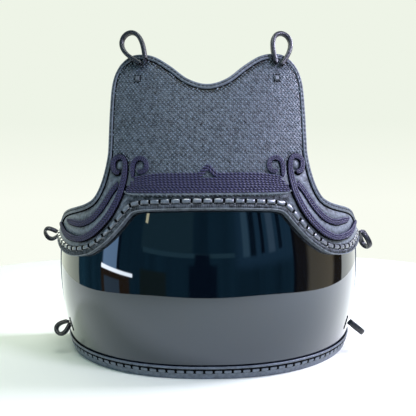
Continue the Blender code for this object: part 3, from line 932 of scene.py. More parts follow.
def build_woven_face(settings):
    """A dark ground of painted shade, with the threads of a diagonal plain weave on it. Each pillow
    is the part of one thread that shows between two it passes under."""
    top, low = rib_ends(WOVEN_RIBS, 6)
    top = shifted(top, -(EDGE_BINDING_WIDTH + 2 * GAP))
    chart = low + (top - low) * np.linspace(0, 1, 40)[:, None, None]
    ground = PANEL_FACE + 2 * GAP
    shape = Shape()
    # The ground's colour is painted shade between the threads.
    add_slab(shape, chart, PANEL_FACE + 0.5 * GAP, ground, 0.0)
    pitch = settings.weave_pitch
    diagonal = 1 / math.sqrt(2)
    # Threads are counted both ways from a point at the middle of the panel's height.
    weave_reach, weave_middle = 400 * MM, 280 * MM
    count = np.arange(-int(weave_reach / pitch), int(weave_reach / pitch))
    warp, weft = (grid.ravel() for grid in np.meshgrid(count, count))
    centres = np.stack([warp - weft, warp + weft], axis=1) * pitch / math.sqrt(2)
    centres[:, 1] += weave_middle
    outer_edge = shifted(respaced(top, 3 * MM), -0.2 * MM)
    kept = inside_outline(centres, np.concatenate([outer_edge, respaced(low, 3 * MM)[::-1]]))
    # Shares of the pitch, for one thread's pillow.
    half_long, half_wide, sunk = 0.62, 0.3, 0.05 * MM
    across, ahead = np.meshgrid(np.linspace(-1, 1, 4), np.linspace(-1, 1, 5))
    dome = (1 - np.abs(ahead) ** 2.2) * (1 - np.abs(across) ** 2.2)
    taper = 1 - 0.16 * ahead**2
    dice = np.random.default_rng(7)
    for centre, cell in zip(centres[kept], (warp + weft)[kept]):
        forward = np.array([diagonal, diagonal if cell % 2 else -diagonal])
        side = np.array([-forward[1], forward[0]])
        longer, ahead_slip, wider, side_slip = dice.normal(0, 0.04, 4)
        places = (
            centre
            + forward * ((ahead * (half_long + longer) + ahead_slip)[..., None] * pitch)
            + side * ((across * taper * (half_wide + 0.5 * wider) + side_slip)[..., None] * pitch)
        )
        lifts = ground - sunk + dome * settings.weave_relief * (1 + 2 * longer)
        # Each pillow runs from painted shade at its edges to a painted highlight on its crest, and varies
        # a little from thread to thread.
        add_patch(shape, places, lifts, np.clip(dome**3 * (0.95 + 7 * side_slip), 0, 1))
    face = add_piece("basket_weave_face", shape, ["weave"], ["woven_face"], 80)


def build_edge_binding(settings):
    """A folded strip round the panel's outer edge, drawn in by a row of stitches along its middle,
    with a dark line of painted shade where it meets the panel."""
    top, _ = rib_ends(PANEL_RIBS, 12)
    inner_edge = respaced(shifted(top, -EDGE_BINDING_WIDTH), 0.95 * MM)
    path = inner_edge[np.abs(inner_edge[:, 0]) < BINDING_END_GIRTH]
    far = along(path)
    to_end = np.minimum(far, far[-1] - far)
    shares = 0.3 + 0.7 * np.sin(np.clip(to_end / BINDING_TAPER, 0, 1) * math.pi / 2)
    turns = np.linspace(0, math.pi, 17)
    across = (1 - np.sign(np.cos(turns)) * np.abs(np.cos(turns)) ** 0.55) / 2
    dome = np.sin(turns) ** 0.45
    middle = bump(across - 0.5, 0.1)
    draw = 0.5 + 0.5 * np.cos(2 * math.pi * far / settings.binding_pitch)
    rise = dome * (WOVEN_FACE + 0.35 * MM - GAP)
    groove = 0.55 * MM + 0.5 * MM * draw
    lift = GAP + rise[None, :] - groove[:, None] * middle[None, :]
    # The strip is coloured darker, as painted shade, in the groove along its middle and where it turns
    # down at its sides.
    crown = 0.75 - 0.6 * middle[None, :] * (0.6 + 0.4 * draw[:, None]) - 0.3 * (1 - dome[None, :])
    # The flat underside closes each ring.
    base = np.linspace(1, 0, 5)[1:-1]
    across = np.concatenate([across, base])
    lift = np.concatenate([lift, np.full((len(path), len(base)), GAP)], axis=1)
    crown = np.concatenate([crown, np.full((len(path), len(base)), 0.3)], axis=1)
    sides = left_normals(path)
    reach = across[None, :, None] * EDGE_BINDING_WIDTH * shares[:, None, None]
    shape = Shape()
    add_tube(shape, on_surface(path[:, None] + sides[:, None] * reach, lift), np.clip(crown, 0, 1))
    # The dark line is painted shade: a near black strip along the binding's inner edge.
    low, half = 1.5, 0.5
    line = [(-half, low), (half, low), (half, PANEL_FACE / MM + 1.1), (-half, PANEL_FACE / MM + 0.5)]
    add_tube(shape, on_surface(*swept(path, np.array(line) * MM)), 0.0, 1)
    add_piece("folded_edge_binding", shape, ["binding", "channel"], ["edge_binding"])

    seam = respaced(path + sides * (EDGE_BINDING_WIDTH * 0.5 * shares)[:, None], 0.5 * MM)
    thread = Shape()
    pitch = settings.binding_pitch
    stitch_run(thread, seam, pitch, pitch * 0.55, 1.3 * MM, WOVEN_FACE + 0.1 * MM, 0.5 * MM)
    add_piece("edge_binding_stitches", thread, ["thread"])


# The lower border's section: the bead below, then the gathered strip.
BORDER_SECTION = (
    # share of its width, rise
    (0, -0.9),
    (0.02, 0.5),
    (0.1, 1.0),
    (0.2, 0.9),
    (0.27, 0.42),
    (0.36, 0.7),
    (0.5, 0.85),
    (0.64, 0.85),
    (0.78, 0.8),
    (0.9, 0.66),
    (0.97, 0.4),
    (1.0, -0.9),
)
FOLD_LINE = ((0, 0), (40, 0), (70, 0), (92, 0.3), (99, 1.2), (103, 3))


def build_lower_border(settings):
    """The gathered strip along the panel's lower edge, with a bead below."""
    _, low = rib_ends(PANEL_RIBS, 12)
    path = respaced(low[np.abs(low[:, 0]) < BORDER_END_GIRTH], 0.6 * MM)
    across, dome = np.array(BORDER_SECTION).T
    dice = np.random.default_rng(3)
    pleats = 0.5 + 0.5 * np.cos(2 * math.pi * along(path) / settings.border_rib_pitch)
    pleats = pleats[:, None] * (across > 0.25) * dice.uniform(0.3, 1.0, (len(path), len(across)))
    rise = PANEL_FACE + GAP + dome * 1.7 * MM - 0.75 * MM * pleats
    chart = path[:, None] + left_normals(path)[:, None] * (across * BORDER_WIDTH)[None, :, None]
    # The bead below is coloured lighter than the strip, a painted highlight. The strip is darker,
    # unevenly, in the gathers, and the edges that tuck under darker still, as painted shade.
    painted_bead_highlight = np.where(across < 0.25, 0.8, 0.38)[None, :]
    shape = Shape()
    crown = np.clip(painted_bead_highlight - 0.45 * pleats - 0.8 * (dome < 0), 0, 1)
    add_tube(shape, on_surface(chart, rise), crown)
    add_piece("gathered_lower_border", shape, ["deerskin"], ["lower_border"])


def build_fold(settings):
    """The rolled fold of leather that the cord rows lie on, with the seam below it."""
    fold = np.array(FOLD_LINE) * MM + (0, FOLD_HEIGHT)
    line = respaced(both_sides(smooth(fold, 5)), 1.5 * MM)
    turns = full_turn(10)
    section = [1.3 * MM * np.cos(turns), WOVEN_FACE + 0.1 * MM + 1.5 * MM * np.sin(turns)]
    roll = Shape()
    # The roll is coloured lighter than the panel, a painted highlight along it.
    add_tube(roll, on_surface(*swept(line, np.stack(section, axis=1))), 0.8)
    add_piece("rolled_fold", roll, ["deerskin"])
    seam = Shape()
    lift = PANEL_FACE + settings.puff - 0.35 * MM
    stitch_run(seam, shifted(line, -2.6 * MM), 4.6 * MM, 3 * MM, 1.1 * MM, lift, 0.5 * MM)
    add_piece("fold_stitches", seam, ["thread"])


def build_chest_lacing(settings):
    """A flat thong laced through holes along the panel's lower edge, in a dark channel of painted
    shade. Its stretches meet at the holes, and each hole shows a little of the next stretch under
    its lip."""
    path = lace_path()
    face = PANEL_FACE
    thong_lift = face + 0.5 * MM
    bed, laces, lips = Shape(), Shape(), Shape()
    # The channel is a near black strip of painted shade under the thong.
    add_strip(bed, path, -3.6 * MM, 3.1 * MM, face - 0.8 * MM, face + 0.35 * MM)
    pitch = settings.chest_pitch
    stretches, holes = stitch_places(path, pitch)
    for centre, forward, side in stretches:
        length, width, crest = pitch - 0.6 * MM, 6 * MM, 2.5 * MM
        stitch(laces, centre, forward, side, length, width, thong_lift, crest, 0.06, 0.1)
    turns = full_turn(16)
    hole_half_long, hole_half_wide = 1.4 * MM, 2.5 * MM
    for centre, forward, side in holes:
        oval = np.outer(np.cos(turns) * hole_half_long, forward)
        oval += np.outer(np.sin(turns) * hole_half_wide, side)
        rings = [centre + oval * share for share in (1, 0.97, 0.5, 0.05)]
        lifts = np.repeat([[face + rise * MM] for rise in (0, 2.3, 2.0, 1.9)], len(turns), axis=1)
        # The hole itself is a near black oval of painted shade.
        add_tube(bed, on_surface(np.array(rings), lifts))
        lip = centre - side * 3.3 * MM - forward * 0.3 * MM
        stitch(lips, lip, forward, side, 2.6 * MM, 1.5 * MM, thong_lift, 1.9 * MM, 0)
    add_piece("chest_lace_painted_shade", bed, ["channel"])
    add_piece("chest_thong_stitches", laces, ["thong"], ["chest_lacing"])
    add_piece("chest_thong_lips", lips, ["thong"])


# ---------------------------------------------------------------- cords


def add_rope(shape, path, lift, wide, high, plies, turn, hand=1, depth=0.24):
    """A twisted cord laid on a chart path. Its width is an array along the path, its half height one
    number, and one ply goes round in each turn's length. Depth is that of the hollows between plies,
    as a share of the cord's half width."""
    angles = full_turn(6 * plies)
    twist = hand * 2 * math.pi * along(path) / turn
    bulge = np.abs(np.cos(plies * (angles[None, :] - twist[:, None]) / 2))
    radius = 1 - depth + depth * bulge
    flat_wide, flat_high = rounded_square(angles, 0.8)
    across = radius * flat_wide[None, :] * wide[:, None] / 2
    rise = lift + radius * flat_high[None, :] * high
    chart = path[:, None, :2] + left_normals(path)[:, None] * across[:, :, None]
    # Its colour is painted shade in the hollows between plies and a painted highlight on each ply.
    add_tube(shape, on_surface(chart, rise), bulge**2)


def cord_row(row):
    """The right half of one level cord row, as girth, height and width. The rows close up toward
    their ends, and the top one has a peak on the centre line."""
    end = CORD_ROW_ENDS[row]
    closing_from, closing_over = 58 * MM, 42 * MM
    girth = np.array([0, 2.6, 5.2, 7.8, 10.4, 13, 24, 40, 58, 72, 0.86 * end + 10, end]) * MM
    closing = 0.3 * np.clip((girth - closing_from) / closing_over, 0, 1) ** 1.5
    height = LOWEST_CORD_HEIGHT + row * CORD_ROW_PITCH * (1 - closing)
    if row == len(CORD_ROW_ENDS) - 1:
        height[: len(CORD_PEAK)] += np.array(CORD_PEAK) * MM
    return np.stack([girth, height, CORD_WIDTH * (1 - closing)], axis=1)


def build_cord_rows(settings):
    """The level rows, each of two cords side by side."""
    turn = settings.cord_turn
    half_high = 1.9 * MM
    for row in range(len(CORD_ROW_ENDS)):
        line = respaced(both_sides(smooth(cord_row(row), 5)), turn / 10)
        wide = line[:, 2]
        shape = Shape()
        for place in (-0.26, 0.26):
            path = shifted(line, wide * place)
            add_rope(shape, path, CORD_CREST - half_high, wide * 0.56, half_high, 2, turn, 1, 0.5)
        name = f"cord_row_{row + 1}"
        add_piece(f"twisted_{name}", shape, ["cord"], [name])


def build_bands(settings):
    """Each band is a braid of three cords couched side by side, whose twists run opposite ways. A
    dark line of painted shade runs along its lower side."""
    on_panel = PANEL_FACE + GAP
    turn = settings.band_turn
    half_high, outer_drop = 1.5 * MM, 0.25 * MM
    for side, word in SIDES:
        for name, line in band_lines(side).items():
            line = respaced(line, turn / 9)
            width = line[:, 2]
            crest = on_panel + 2.6 * MM if name == "wing_band_inner" else BAND_CREST
            shape = Shape()
            # The dark line, painted shade, is the edge of a near black block under the cords. Its other
            # edge is drawn in.
            low, top = on_panel - MM, crest - 2.1 * MM
            corners = [(-side, low), (side, low), (side, top), (-side, top)]
            chart, lifts = swept(line, corners, width / 2)
            hidden = 1 - 1.6 * MM / width
            seen = np.ones(len(line))
            shares = np.stack([hidden, seen, seen, hidden], axis=1)[..., None]
            middle = line[:, None, :2]
            add_tube(shape, on_surface(middle + (chart - middle) * shares, lifts), 0.0, 1)
            wide = (width - BAND_LINE) / 3
            braid = shifted(line, -side * BAND_LINE * 0.4)
            for strand, hand in ((-1, 1), (0, -1), (1, 1)):
                path = braid + left_normals(line) * (strand * wide * 0.98)[:, None]
                lift = crest - half_high - outer_drop * abs(strand)
                add_rope(shape, path, lift, wide * 1.1, half_high, 2, turn, hand * side, 0.45)
            node = f"{name}_{word}"
            add_piece(f"braided_{node}", shape, ["cord", "channel"], [node])


def build_bosses():
    """A padded leather boss in the eye of each scroll, and the smooth gusset beside the inner one."""
    turns = full_turn(32)
    rounds = np.linspace(1, 0.04, 9)
    for side, word in SIDES:
        shape = Shape()
        for girth, height, half_wide, half_tall, rise in np.array(BOSSES) * MM:
            rim = np.stack([np.cos(turns) * half_wide, np.sin(turns) * half_tall], axis=1)
            chart = (rim[None] * rounds[:, None, None] + (girth, height)) * (side, 1)
            dome = np.repeat(1 - rounds**2, len(turns)).reshape(len(rounds), -1)
            # Each boss is coloured lighter toward its top, as wear and a painted highlight.
            add_tube(shape, on_surface(chart, PANEL_FACE + rise * np.sqrt(dome)), 0.2 + 0.5 * dome)
        ribs = smooth(np.array(GUSSET) * MM, 5)
        across = np.linspace(0, 1, 9)[None, :, None]
        left, right = (np.stack([ribs[:, k], ribs[:, 2]], axis=1)[:, None] for k in (0, 1))
        chart = (left + (right - left) * across) * (side, 1)
        dome = 0.9 * MM * np.sqrt(np.clip(1 - (2 * across[..., 0] - 1) ** 2, 0, 1))
        add_slab(shape, chart, PANEL_FACE + GAP, WOVEN_FACE + 0.1 * MM + dome, 0.5)
        add_piece(f"leather_scroll_bosses_{word}", shape, ["deerskin"])


# ---------------------------------------------------------------- leather loops


def turned_axes(side, tilt, sweep, twist):
    """A loop's own directions: along it, across its belly, and square to its plane."""
    tilt, sweep, twist = (math.radians(angle) for angle in (tilt, sweep, twist))
    up = np.array([side * math.sin(tilt), math.sin(sweep), math.cos(tilt) * math.cos(sweep)])
    up /= np.linalg.norm(up)
    facing = np.array([0.0, -1.0, 0.0])
    facing -= up * (facing @ up)
    facing /= np.linalg.norm(facing)
    square = facing * math.cos(twist) + np.cross(up, facing) * math.sin(twist)
    return up, np.cross(square, up), square


def rolled_section(seams):
    """The outline of a rolled strap, as shares of its half width and half thickness, and its crown.
    It has a seam down the middle of its faces or of its edges, and its crown is low there."""
    wide, thin = rounded_square(full_turn(30), 0.75)
    seam = bump(wide if seams == "faces" else thin, 0.16)
    if seams == "faces":
        thin = thin * (1 - 0.3 * seam)
    else:
        wide = wide * (1 - 0.3 * seam)
    return wide, thin, 0.85 - 0.8 * seam


def build_loop(name, row, seams):
    """One loop: a strap bent to a teardrop, turned to its own directions, with both its ends on the
    piece that carries it."""
    side_word, stands_on, girth, height, length, belly, root_gap, wide, thick, tilt, sweep, twist = row
    up, across, square = turned_axes(math.copysign(1, girth), tilt, sweep, twist)
    chart = np.array([girth, height]) * MM
    root = on_surface(chart, stands_on)
    outward = on_surface(chart, 1.0) - on_surface(chart, 0.0)
    # The strap's centre line in its own plane, up one side and down the other, in millimetres.
    turns = np.linspace(0, 2 * math.pi, 72)
    bulge = np.sin(turns) * np.sin(turns / 2) ** 1.2
    spread = bulge / bulge.max() * (belly - root_gap * 0.3) / 2 + (1 - turns / math.pi) * root_gap / 2
    rise = (1 - np.cos(turns)) / 2 * length
    points = root + (np.outer(spread, across) + np.outer(rise, up)) * MM
    reach = abs(square @ outward) * wide / 2 + abs(across @ outward) * (thick + root_gap) / 2
    points += outward * (GAP + reach * MM)
    ahead = np.gradient(points, axis=0)
    ahead /= np.linalg.norm(ahead, axis=1, keepdims=True)
    out = np.cross(ahead, square)
    out /= np.linalg.norm(out, axis=1, keepdims=True)
    section_wide, section_thin, crown = rolled_section(seams)
    rings = (
        points[:, None]
        + square * (section_wide * wide / 2 * MM)[None, :, None]
        + out[:, None] * (section_thin * thick / 2 * MM)[None, :, None]
    )
    shape = Shape()
    add_tube(shape, rings, np.tile(crown, len(points)))
    node = f"{name}_{side_word}"
    piece = add_piece(f"rolled_{node}", shape, ["strap"], [node])
    # The small loops stand at the bowl's limbs, where the real one shows no mirror image of them, so
    # they and the waist thongs are kept out of reflections.
    piece.visible_glossy = name == "top_loop"


def build_anchors():
    """Square patches under the shoulder loops, each with a rolled edge and a sunk, stitched middle.
    A dark line of painted shade runs round each."""
    half = LOOP_ANCHOR["side"] / 2
    dark_line = 0.9 * MM
    lift = WOVEN_FACE + 0.1 * MM
    across, up = np.meshgrid(np.linspace(-1, 1, 21), np.linspace(-1, 1, 21))
    seam_at = 0.72
    squeeze = 1 - 0.07 * (across * up) ** 2
    ring = np.maximum(np.abs(across), np.abs(up))
    height = np.clip(1 - ring**8, 0, 1) * (1 - 0.75 * bump(ring - seam_at, 0.1))
    for side, word in SIDES:
        centre = np.array([side * LOOP_ANCHOR["girth"], LOOP_ANCHOR["height"]])
        patch = centre + np.stack([across * squeeze, up * squeeze], axis=-1) * half
        rim = centre + np.stack([across, up], axis=-1) * (half + dark_line)
        shape = Shape()
        # The patch is coloured darker where it is low, along its seam and at its edge, as painted shade.
        add_slab(shape, patch, lift - 0.4 * MM, lift + 1.3 * MM * height, 0.6 * height)
        # The dark line round it is a near black slab of painted shade.
        add_slab(shape, rim, lift - 1.2 * MM, lift + 0.1 * MM, 0.0, (1, 1, 1))
        node = f"loop_anchor_{word}"
        add_piece(f"stitched_{node}", shape, ["deerskin", "channel"], [node])
        knots = Shape()
        corners = np.array([(-1, -1), (1, -1), (1, 1), (-1, 1), (-1, -1)]) * half * seam_at + centre
        pitch, length = half * 0.36, half * 0.26
        for start, end in zip(corners, corners[1:]):
            side_line = np.array([start, end])
            stitch_run(knots, side_line, pitch, length, 0.7 * MM, lift + 0.7 * MM, 0.4 * MM)
        add_piece(f"anchor_stitches_{word}", knots, ["thread"])


def build_waist_thongs():
    """The short twisted thong that holds each waist loop."""
    half_high, turn = 0.9 * MM, 9 * MM
    for side, word in SIDES:
        line = respaced(smooth(np.array(WAIST_THONG) * MM, 5) * (side, 1, 1), 0.6 * MM)
        shape = Shape()
        add_rope(shape, line, GAP + half_high, line[:, 2], half_high, 2, turn, side)
        node = f"waist_thong_{word}"
        piece = add_piece(f"twisted_{node}", shape, ["strap"], [node])
        piece.visible_glossy = False


# ---------------------------------------------------------------- the stage


def aim(thing, place, target):
    """Puts a light at a place, facing a target."""
    thing.location = place
    thing.rotation_euler = (Vector(target) - Vector(place)).to_track_quat("-Z", "Y").to_euler()


# The soft lights. The overhead one and the two on the right do most of the lighting, the one on the
# left fills in the shade, and the floor light lifts the paper behind on the left.
SOFTBOXES = (
    # name, place, target, size, watts, colour
    ("overhead", (-0.05, -0.35, 1.5), (0.05, 0, 0.1), (0.55, 0.4), 7.4, "#ecf6f4"),
    ("right", (1.1, 0.2, 1.1), (0, 0, 0.15), (0.4, 0.4), 25, "#e4e4ff"),
    ("front right", (0.84, -0.59, 1.0), (0, 0, 0.25), (0.3, 0.3), 10.5, "#dfdcff"),
    ("floor", (-0.75, 0.95, 0.8), (-0.5, 0.45, 0), (0.3, 0.3), 1.2, "#f6f9ec"),
    ("left", (-0.9, 0.2, 0.9), (-0.2, 0, 0.15), (0.6, 0.6), 1.0, "#f2fcf2"),
)


def add_softbox(name, place, target, size, power, tint):
    """An area light that the camera doesn't see."""
    light = bpy.data.lights.new(name, "AREA")
    light.shape = "RECTANGLE"
    light.size, light.size_y = size
    light.energy = power
    light.color = linear(tint)[:3]
    lamp = bpy.data.objects.new(name, light)
    bpy.context.scene.collection.objects.link(lamp)
    aim(lamp, place, target)
    lamp.visible_camera = False


def build_camera(settings):
    """The camera, turned by yaw, pitch and roll from facing +Y."""
    camera = bpy.data.cameras.new("camera")
    camera.lens = settings.lens
    camera.sensor_width = 36
    camera.dof.use_dof = False
    eye = bpy.data.objects.new("camera", camera)
    bpy.context.scene.collection.objects.link(eye)
    yaw = Matrix.Rotation(-settings.yaw, 4, "Z")
    pitch = Matrix.Rotation(math.pi / 2 + settings.pitch, 4, "X")
    roll = Matrix.Rotation(settings.roll, 4, "Z")
    eye.matrix_world = Matrix.Translation(settings.eye) @ yaw @ pitch @ roll
    bpy.context.scene.camera = eye


# Soft cards of light and shade round the stage, as seen from the protector, in degrees. Azimuth 0 is
# straight in front of it and 90 to its +X side. Each lies over the ones before it.
CARDS = (
    # name, azimuth, elevation, half_width, half_height, blur, colour, strength
    ("paper behind on the left", -180, 25, 70, 90, 1.5, "#dfe8d6", 1.15),
    ("paper behind on the right", 180, 25, 64, 90, 1.5, "#eef2ee", 1.2),
    ("shelves", -26, 30, 17, 13, 2, "#4a7482", 1.0),
    ("shelf board", -14, 15.5, 28, 0.8, 0.8, "#5f8fa0", 1.0),
    ("low boxes", -34, -3, 9, 8, 1.5, "#3d4f48", 1.0),
    ("curtain", 38, 36, 19, 24, 7, "#4c7c9c", 1.0),
    ("curtain fold", 22, 37, 1.2, 22, 2, "#7fb0cc", 1.0),
    ("curtain fold", 27, 37, 1.0, 22, 2, "#1b3648", 1.0),
    ("curtain fold", 34, 37, 0.8, 22, 1, "#142838", 1.0),
    ("curtain fold", 41, 37, 1.6, 22, 2, "#8cb4d2", 1.0),
    ("curtain fold", 48, 37, 1.0, 22, 1, "#1d384c", 1.0),
    ("person's shade", -3, -6, 5.5, 15, 3, "#142a40", 1.0),
    ("person's head", -3, 11, 2.6, 4.5, 2, "#142a40", 1.0),
    ("door frame", 61, 20, 2.4, 60, 1, "#1a1712", 1.0),
    ("wooden door", 88, 10, 26, 60, 3, "#5f5340", 0.45),
    ("shelf on the right", 87, 2, 12, 14, 6, "#b7a98e", 1.0),
    ("curtained window", -70.5, 13, 6, 14, 2.5, "#a8cdf4", 2.4),
    ("window frame", -62.5, 14, 0.9, 14, 1, "#1d3448", 1.0),
    ("wooden cupboard", -66, -7, 13, 8, 1.2, "#6e563c", 0.8),
    ("box on the cupboard", -69, -8, 7, 5, 1, "#7d94a8", 1.0),
    ("small lamp", -41.5, 31, 0.8, 3, 0.5, "#fff2c4", 4.0),
    ("lamp bar", -64.5, 1.2, 14.5, 0.65, 0.5, "#ffffff", 9.0),
)


def build_world(settings):
    """A dark room in front, white paper behind, and for the camera's own view a pale wall."""
    world = bpy.data.worlds.new("studio")
    bpy.context.scene.world = world
    world.use_nodes = True
    tree = world.node_tree
    tree.nodes.clear()
    direction = add_node(tree, "ShaderNodeTexCoord").outputs["Generated"]
    parts = add_node(tree, "ShaderNodeSeparateXYZ", {0: direction})
    east, north, up = parts.outputs
    front = add_node(tree, "ShaderNodeMath", {0: north, 1: -1.0}, operation="MULTIPLY").outputs[0]
    azimuth = add_node(tree, "ShaderNodeMath", {0: east, 1: front}, operation="ARCTAN2").outputs[0]
    elevation = add_node(tree, "ShaderNodeMath", {0: up}, operation="ARCSINE").outputs[0]
    noise = {"W": azimuth, "Scale": 7.0, "Detail": 4.0}
    folds = add_node(tree, "ShaderNodeTexNoise", noise, noise_dimensions="1D")
    room = add_node(
        tree,
        "ShaderNodeMix",
        {"Factor": folds.outputs["Fac"], 6: linear("#142c3a"), 7: linear("#427892")},
        data_type="RGBA",
    ).outputs[2]
    for name, turn, rise, half_turn, half_rise, blur, tint, strength in CARDS:
        inside = 1.0
        for angle, centre, half in ((azimuth, turn, half_turn), (elevation, rise, half_rise)):
            off = {0: angle, 1: math.radians(centre)}
            off = add_node(tree, "ShaderNodeMath", off, operation="SUBTRACT").outputs[0]
            far = add_node(tree, "ShaderNodeMath", {0: off}, operation="ABSOLUTE").outputs[0]
            reach = {"From Min": math.radians(half + blur), "From Max": math.radians(half)}
            mask = {"Value": far, "To Max": inside, **reach}
            mask = add_node(tree, "ShaderNodeMapRange", mask, interpolation_type="SMOOTHSTEP")
            inside = mask.outputs[0]
        light = (*[channel * strength for channel in linear(tint)[:3]], 1.0)
        card = {"Factor": inside, 6: room, 7: light}
        card = add_node(tree, "ShaderNodeMix", card, data_type="RGBA", label=name)
        room = card.outputs[2]
    # The wall turns a little darker upward, from 3 degrees below the horizon to 5 above it.
    fall = {"Value": up, "From Min": -0.05, "From Max": 0.09}
    fall = add_node(tree, "ShaderNodeMapRange", fall).outputs[0]
    wall = {"Factor": fall, 6: (*settings.wall_low, 1), 7: (*settings.wall_high, 1)}
    wall = add_node(tree, "ShaderNodeMix", wall, data_type="RGBA").outputs[2]
    seen = add_node(tree, "ShaderNodeLightPath").outputs["Is Camera Ray"]
    shown = add_node(tree, "ShaderNodeMix", {"Factor": seen, 6: room, 7: wall}, data_type="RGBA")
    glow = add_node(tree, "ShaderNodeBackground", {"Color": shown.outputs[2], "Strength": 1.0})
    add_node(tree, "ShaderNodeOutputWorld", {"Surface": glow.outputs[0]})


def build_floor(settings):
    """A sheet of white paper with round corners. It lies just below the rim, so that they don't
    share a surface."""
    count = 128
    half_deep, centre, drop, thick = 0.86, -0.02, -0.3 * MM, 3.7 * MM
    east, north = rounded_square(full_turn(count), 0.62)
    east, north = east * settings.floor_half_width, north * half_deep + centre
    shape = Shape()
    levels = ((1, drop - thick), (1, drop), (0.5, drop))
    add_tube(shape, [np.stack([east * s, north * s, np.full(count, z)], axis=1) for s, z in levels])
    mesh = bpy.data.meshes.new("paper_floor")
    mesh.from_pydata(np.concatenate(shape.points).tolist(), [], shape.faces)
    mesh.materials.append(plain_paper("matt white paper", settings.floor_colour))
    floor = bpy.data.objects.new("paper_floor", mesh)
    bpy.context.scene.collection.objects.link(floor)


def build_stage(settings):
    """The floor, the surroundings, the lights and the camera."""
    build_floor(settings)
    build_world(settings)
    for name, *row in SOFTBOXES:
        add_softbox(f"{name} softbox", *row)
    build_camera(settings)
    bpy.context.scene.view_settings.view_transform = "Standard"


# ---------------------------------------------------------------- settings, operators and panel


def length_property(name, description, default):
    """A length in metres."""
    return bpy.props.FloatProperty(
        name=name, description=description, default=default, min=0, unit="LENGTH", precision=4
    )


def colour_property(name, description, hex_default):
    """A colour, whose default is given as sRGB hex."""
    default = linear(hex_default)[:3]
    return bpy.props.FloatVectorProperty(
        name=name, description=description, default=default, subtype="COLOR", min=0, max=1
    )


def rows_property(description, default):
    """How finely a sheet is divided."""
    return bpy.props.IntProperty(name="Rows", description=description, default=default, min=8, max=200)


def turn_property(name, description, degrees):
    """An angle, whose default is given in degrees."""
    return bpy.props.FloatProperty(
        name=name, description=description, default=math.radians(degrees), unit="ROTATION"
    )


class BowlSettings(bpy.types.PropertyGroup):
    lacquer: colour_property("Lacquer", "Colour of the lacquer under its gloss", "#04070d")
    lacquer_ior: bpy.props.FloatProperty(
        name="Lacquer IOR", description="Index of refraction", default=1.58, min=1.3, max=2.0
    )
    rows: rows_property("Rows of faces up the bowl's wall", 64)
    rim_pitch: length_property("Rim lace pitch", "Between stitches round the rim", 11.6 * MM)


class PanelSettings(bpy.types.PropertyGroup):
    rows: rows_property("Rows of faces up the chest panel", 84)
    puff: length_property("Puff", "How far the padding stands up between the bands", 1.5 * MM)
    binding_pitch: length_property("Binding stitch pitch", "Between stitches in the binding", 5.7 * MM)
    border_rib_pitch: length_property("Border rib pitch", "Between ribs of the lower border", 2.1 * MM)
    chest_pitch: length_property("Chest lace pitch", "Between thong stitches", 12.5 * MM)


class WeaveSettings(bpy.types.PropertyGroup):
    weave_pitch: length_property("Thread pitch", "Between threads of the weave", 3.9 * MM)
    weave_relief: length_property("Relief", "Height of a thread over the ground beside it", 1.75 * MM)


class CordSettings(bpy.types.PropertyGroup):
    cord_turn: length_property("Cord turn", "Length in which a row's ply goes round", 9.3 * MM)
    band_turn: length_property("Band turn", "Length in which a band's ply goes round", 7.0 * MM)


class StageSettings(bpy.types.PropertyGroup):
    floor_colour: colour_property("Floor", "Colour of the paper floor", "#fafbec")
    floor_half_width: length_property("Floor half width", "From the centre line to its side", 0.68)
    wall_low: colour_property("Wall, low", "Colour of the wall near the floor", "#fafdf2")
    wall_high: colour_property("Wall, high", "Colour of the wall above", "#eef4e7")
    eye: bpy.props.FloatVectorProperty(
        name="Eye", description="Place of the camera", default=(0.0009, -0.687, 0.236), subtype="XYZ"
    )
    lens: bpy.props.FloatProperty(
        name="Lens", description="Focal length on a 36 mm sensor", default=46.07, unit="CAMERA"
    )
    yaw: turn_property("Yaw", "Turn of the camera to +X", -0.073)
    pitch: turn_property("Pitch", "Rise of the camera's aim", -3.703)
    roll: turn_property("Roll", "Turn of the camera about its aim", -0.356)


class ProtectorSettings(bpy.types.PropertyGroup):
    bowl: bpy.props.PointerProperty(type=BowlSettings)
    panel: bpy.props.PointerProperty(type=PanelSettings)
    weave: bpy.props.PointerProperty(type=WeaveSettings)
    cords: bpy.props.PointerProperty(type=CordSettings)
    stage: bpy.props.PointerProperty(type=StageSettings)


class PROTECTOR_OT_bowl(bpy.types.Operator):
    """Build the lacquered bowl"""

    bl_idname = "protector.bowl"
    bl_label = "Bowl"

    def execute(self, context):
        build_bowl(context.scene.chest_protector.bowl)
        return {"FINISHED"}


class PROTECTOR_OT_rim(bpy.types.Operator):
    """Build the leather channel round the bowl's edge, with its lacing"""

    bl_idname = "protector.rim"
    bl_label = "Rim"

    def execute(self, context):
        build_rim(context.scene.chest_protector.bowl)
        return {"FINISHED"}


class PROTECTOR_OT_panel(bpy.types.Operator):
    """Build the padded leather chest panel"""

    bl_idname = "protector.panel"
    bl_label = "Chest panel"

    def execute(self, context):
        build_panel(context.scene.chest_protector.panel)
        return {"FINISHED"}


class PROTECTOR_OT_weave(bpy.types.Operator):
    """Build the woven face of the chest panel"""

    bl_idname = "protector.weave"
    bl_label = "Woven face"

    def execute(self, context):
        build_woven_face(context.scene.chest_protector.weave)
        return {"FINISHED"}


class PROTECTOR_OT_trims(bpy.types.Operator):
    """Build the panel's edge binding, lower border, rolled fold and thong lacing"""

    bl_idname = "protector.trims"
    bl_label = "Binding, border and lacing"

    def execute(self, context):
        settings = context.scene.chest_protector.panel
        build_edge_binding(settings)
        build_lower_border(settings)
        build_fold(settings)
        build_chest_lacing(settings)
        return {"FINISHED"}


class PROTECTOR_OT_cords(bpy.types.Operator):
    """Build the cord rows, the wing bands and the scrolls"""

    bl_idname = "protector.cords"
    bl_label = "Cord work"

    def execute(self, context):
        settings = context.scene.chest_protector.cords
        build_cord_rows(settings)
        build_bands(settings)
        build_bosses()
        return {"FINISHED"}


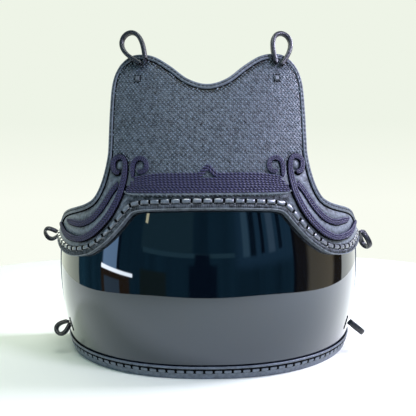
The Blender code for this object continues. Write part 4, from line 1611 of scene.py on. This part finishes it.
class PROTECTOR_OT_loops(bpy.types.Operator):
    """Build the leather loops, their patches and thongs"""

    bl_idname = "protector.loops"
    bl_label = "Loops"

    def execute(self, context):
        for place, rows in LOOPS.items():
            for row in rows:
                build_loop(f"{place}_loop", row, "faces" if place == "top" else "edges")
        build_anchors()
        build_waist_thongs()
        return {"FINISHED"}


class PROTECTOR_OT_stage(bpy.types.Operator):
    """Build the floor, the surroundings, the lights and the camera"""

    bl_idname = "protector.stage"
    bl_label = "Stage"

    def execute(self, context):
        build_stage(context.scene.chest_protector.stage)
        return {"FINISHED"}


OPERATORS = (
    PROTECTOR_OT_bowl,
    PROTECTOR_OT_rim,
    PROTECTOR_OT_panel,
    PROTECTOR_OT_weave,
    PROTECTOR_OT_trims,
    PROTECTOR_OT_cords,
    PROTECTOR_OT_loops,
    PROTECTOR_OT_stage,
)
GROUPS = (BowlSettings, PanelSettings, WeaveSettings, CordSettings, StageSettings, ProtectorSettings)


class PROTECTOR_PT_panel(bpy.types.Panel):
    """The sidebar's list of operators and their settings"""

    bl_idname = "PROTECTOR_PT_panel"
    bl_label = "Chest protector"
    bl_space_type = "VIEW_3D"
    bl_region_type = "UI"
    bl_category = "Protector"

    def draw(self, context):
        for operator in OPERATORS:
            self.layout.operator(operator.bl_idname)
        for group in ("bowl", "panel", "weave", "cords", "stage"):
            box = self.layout.box()
            settings = getattr(context.scene.chest_protector, group)
            for name in settings.__annotations__:
                box.prop(settings, name)


def register():
    for part in (*GROUPS, *OPERATORS, PROTECTOR_PT_panel):
        bpy.utils.register_class(part)
    bpy.types.Scene.chest_protector = bpy.props.PointerProperty(type=ProtectorSettings)


def unregister():
    del bpy.types.Scene.chest_protector
    for part in reversed((*GROUPS, *OPERATORS, PROTECTOR_PT_panel)):
        bpy.utils.unregister_class(part)


def main():
    """Builds the pieces and the stage."""
    register()
    bpy.ops.protector.bowl()
    bpy.ops.protector.rim()
    bpy.ops.protector.panel()
    bpy.ops.protector.weave()
    bpy.ops.protector.trims()
    bpy.ops.protector.cords()
    bpy.ops.protector.loops()
    bpy.ops.protector.stage()


if __name__ == "__main__":
    main()
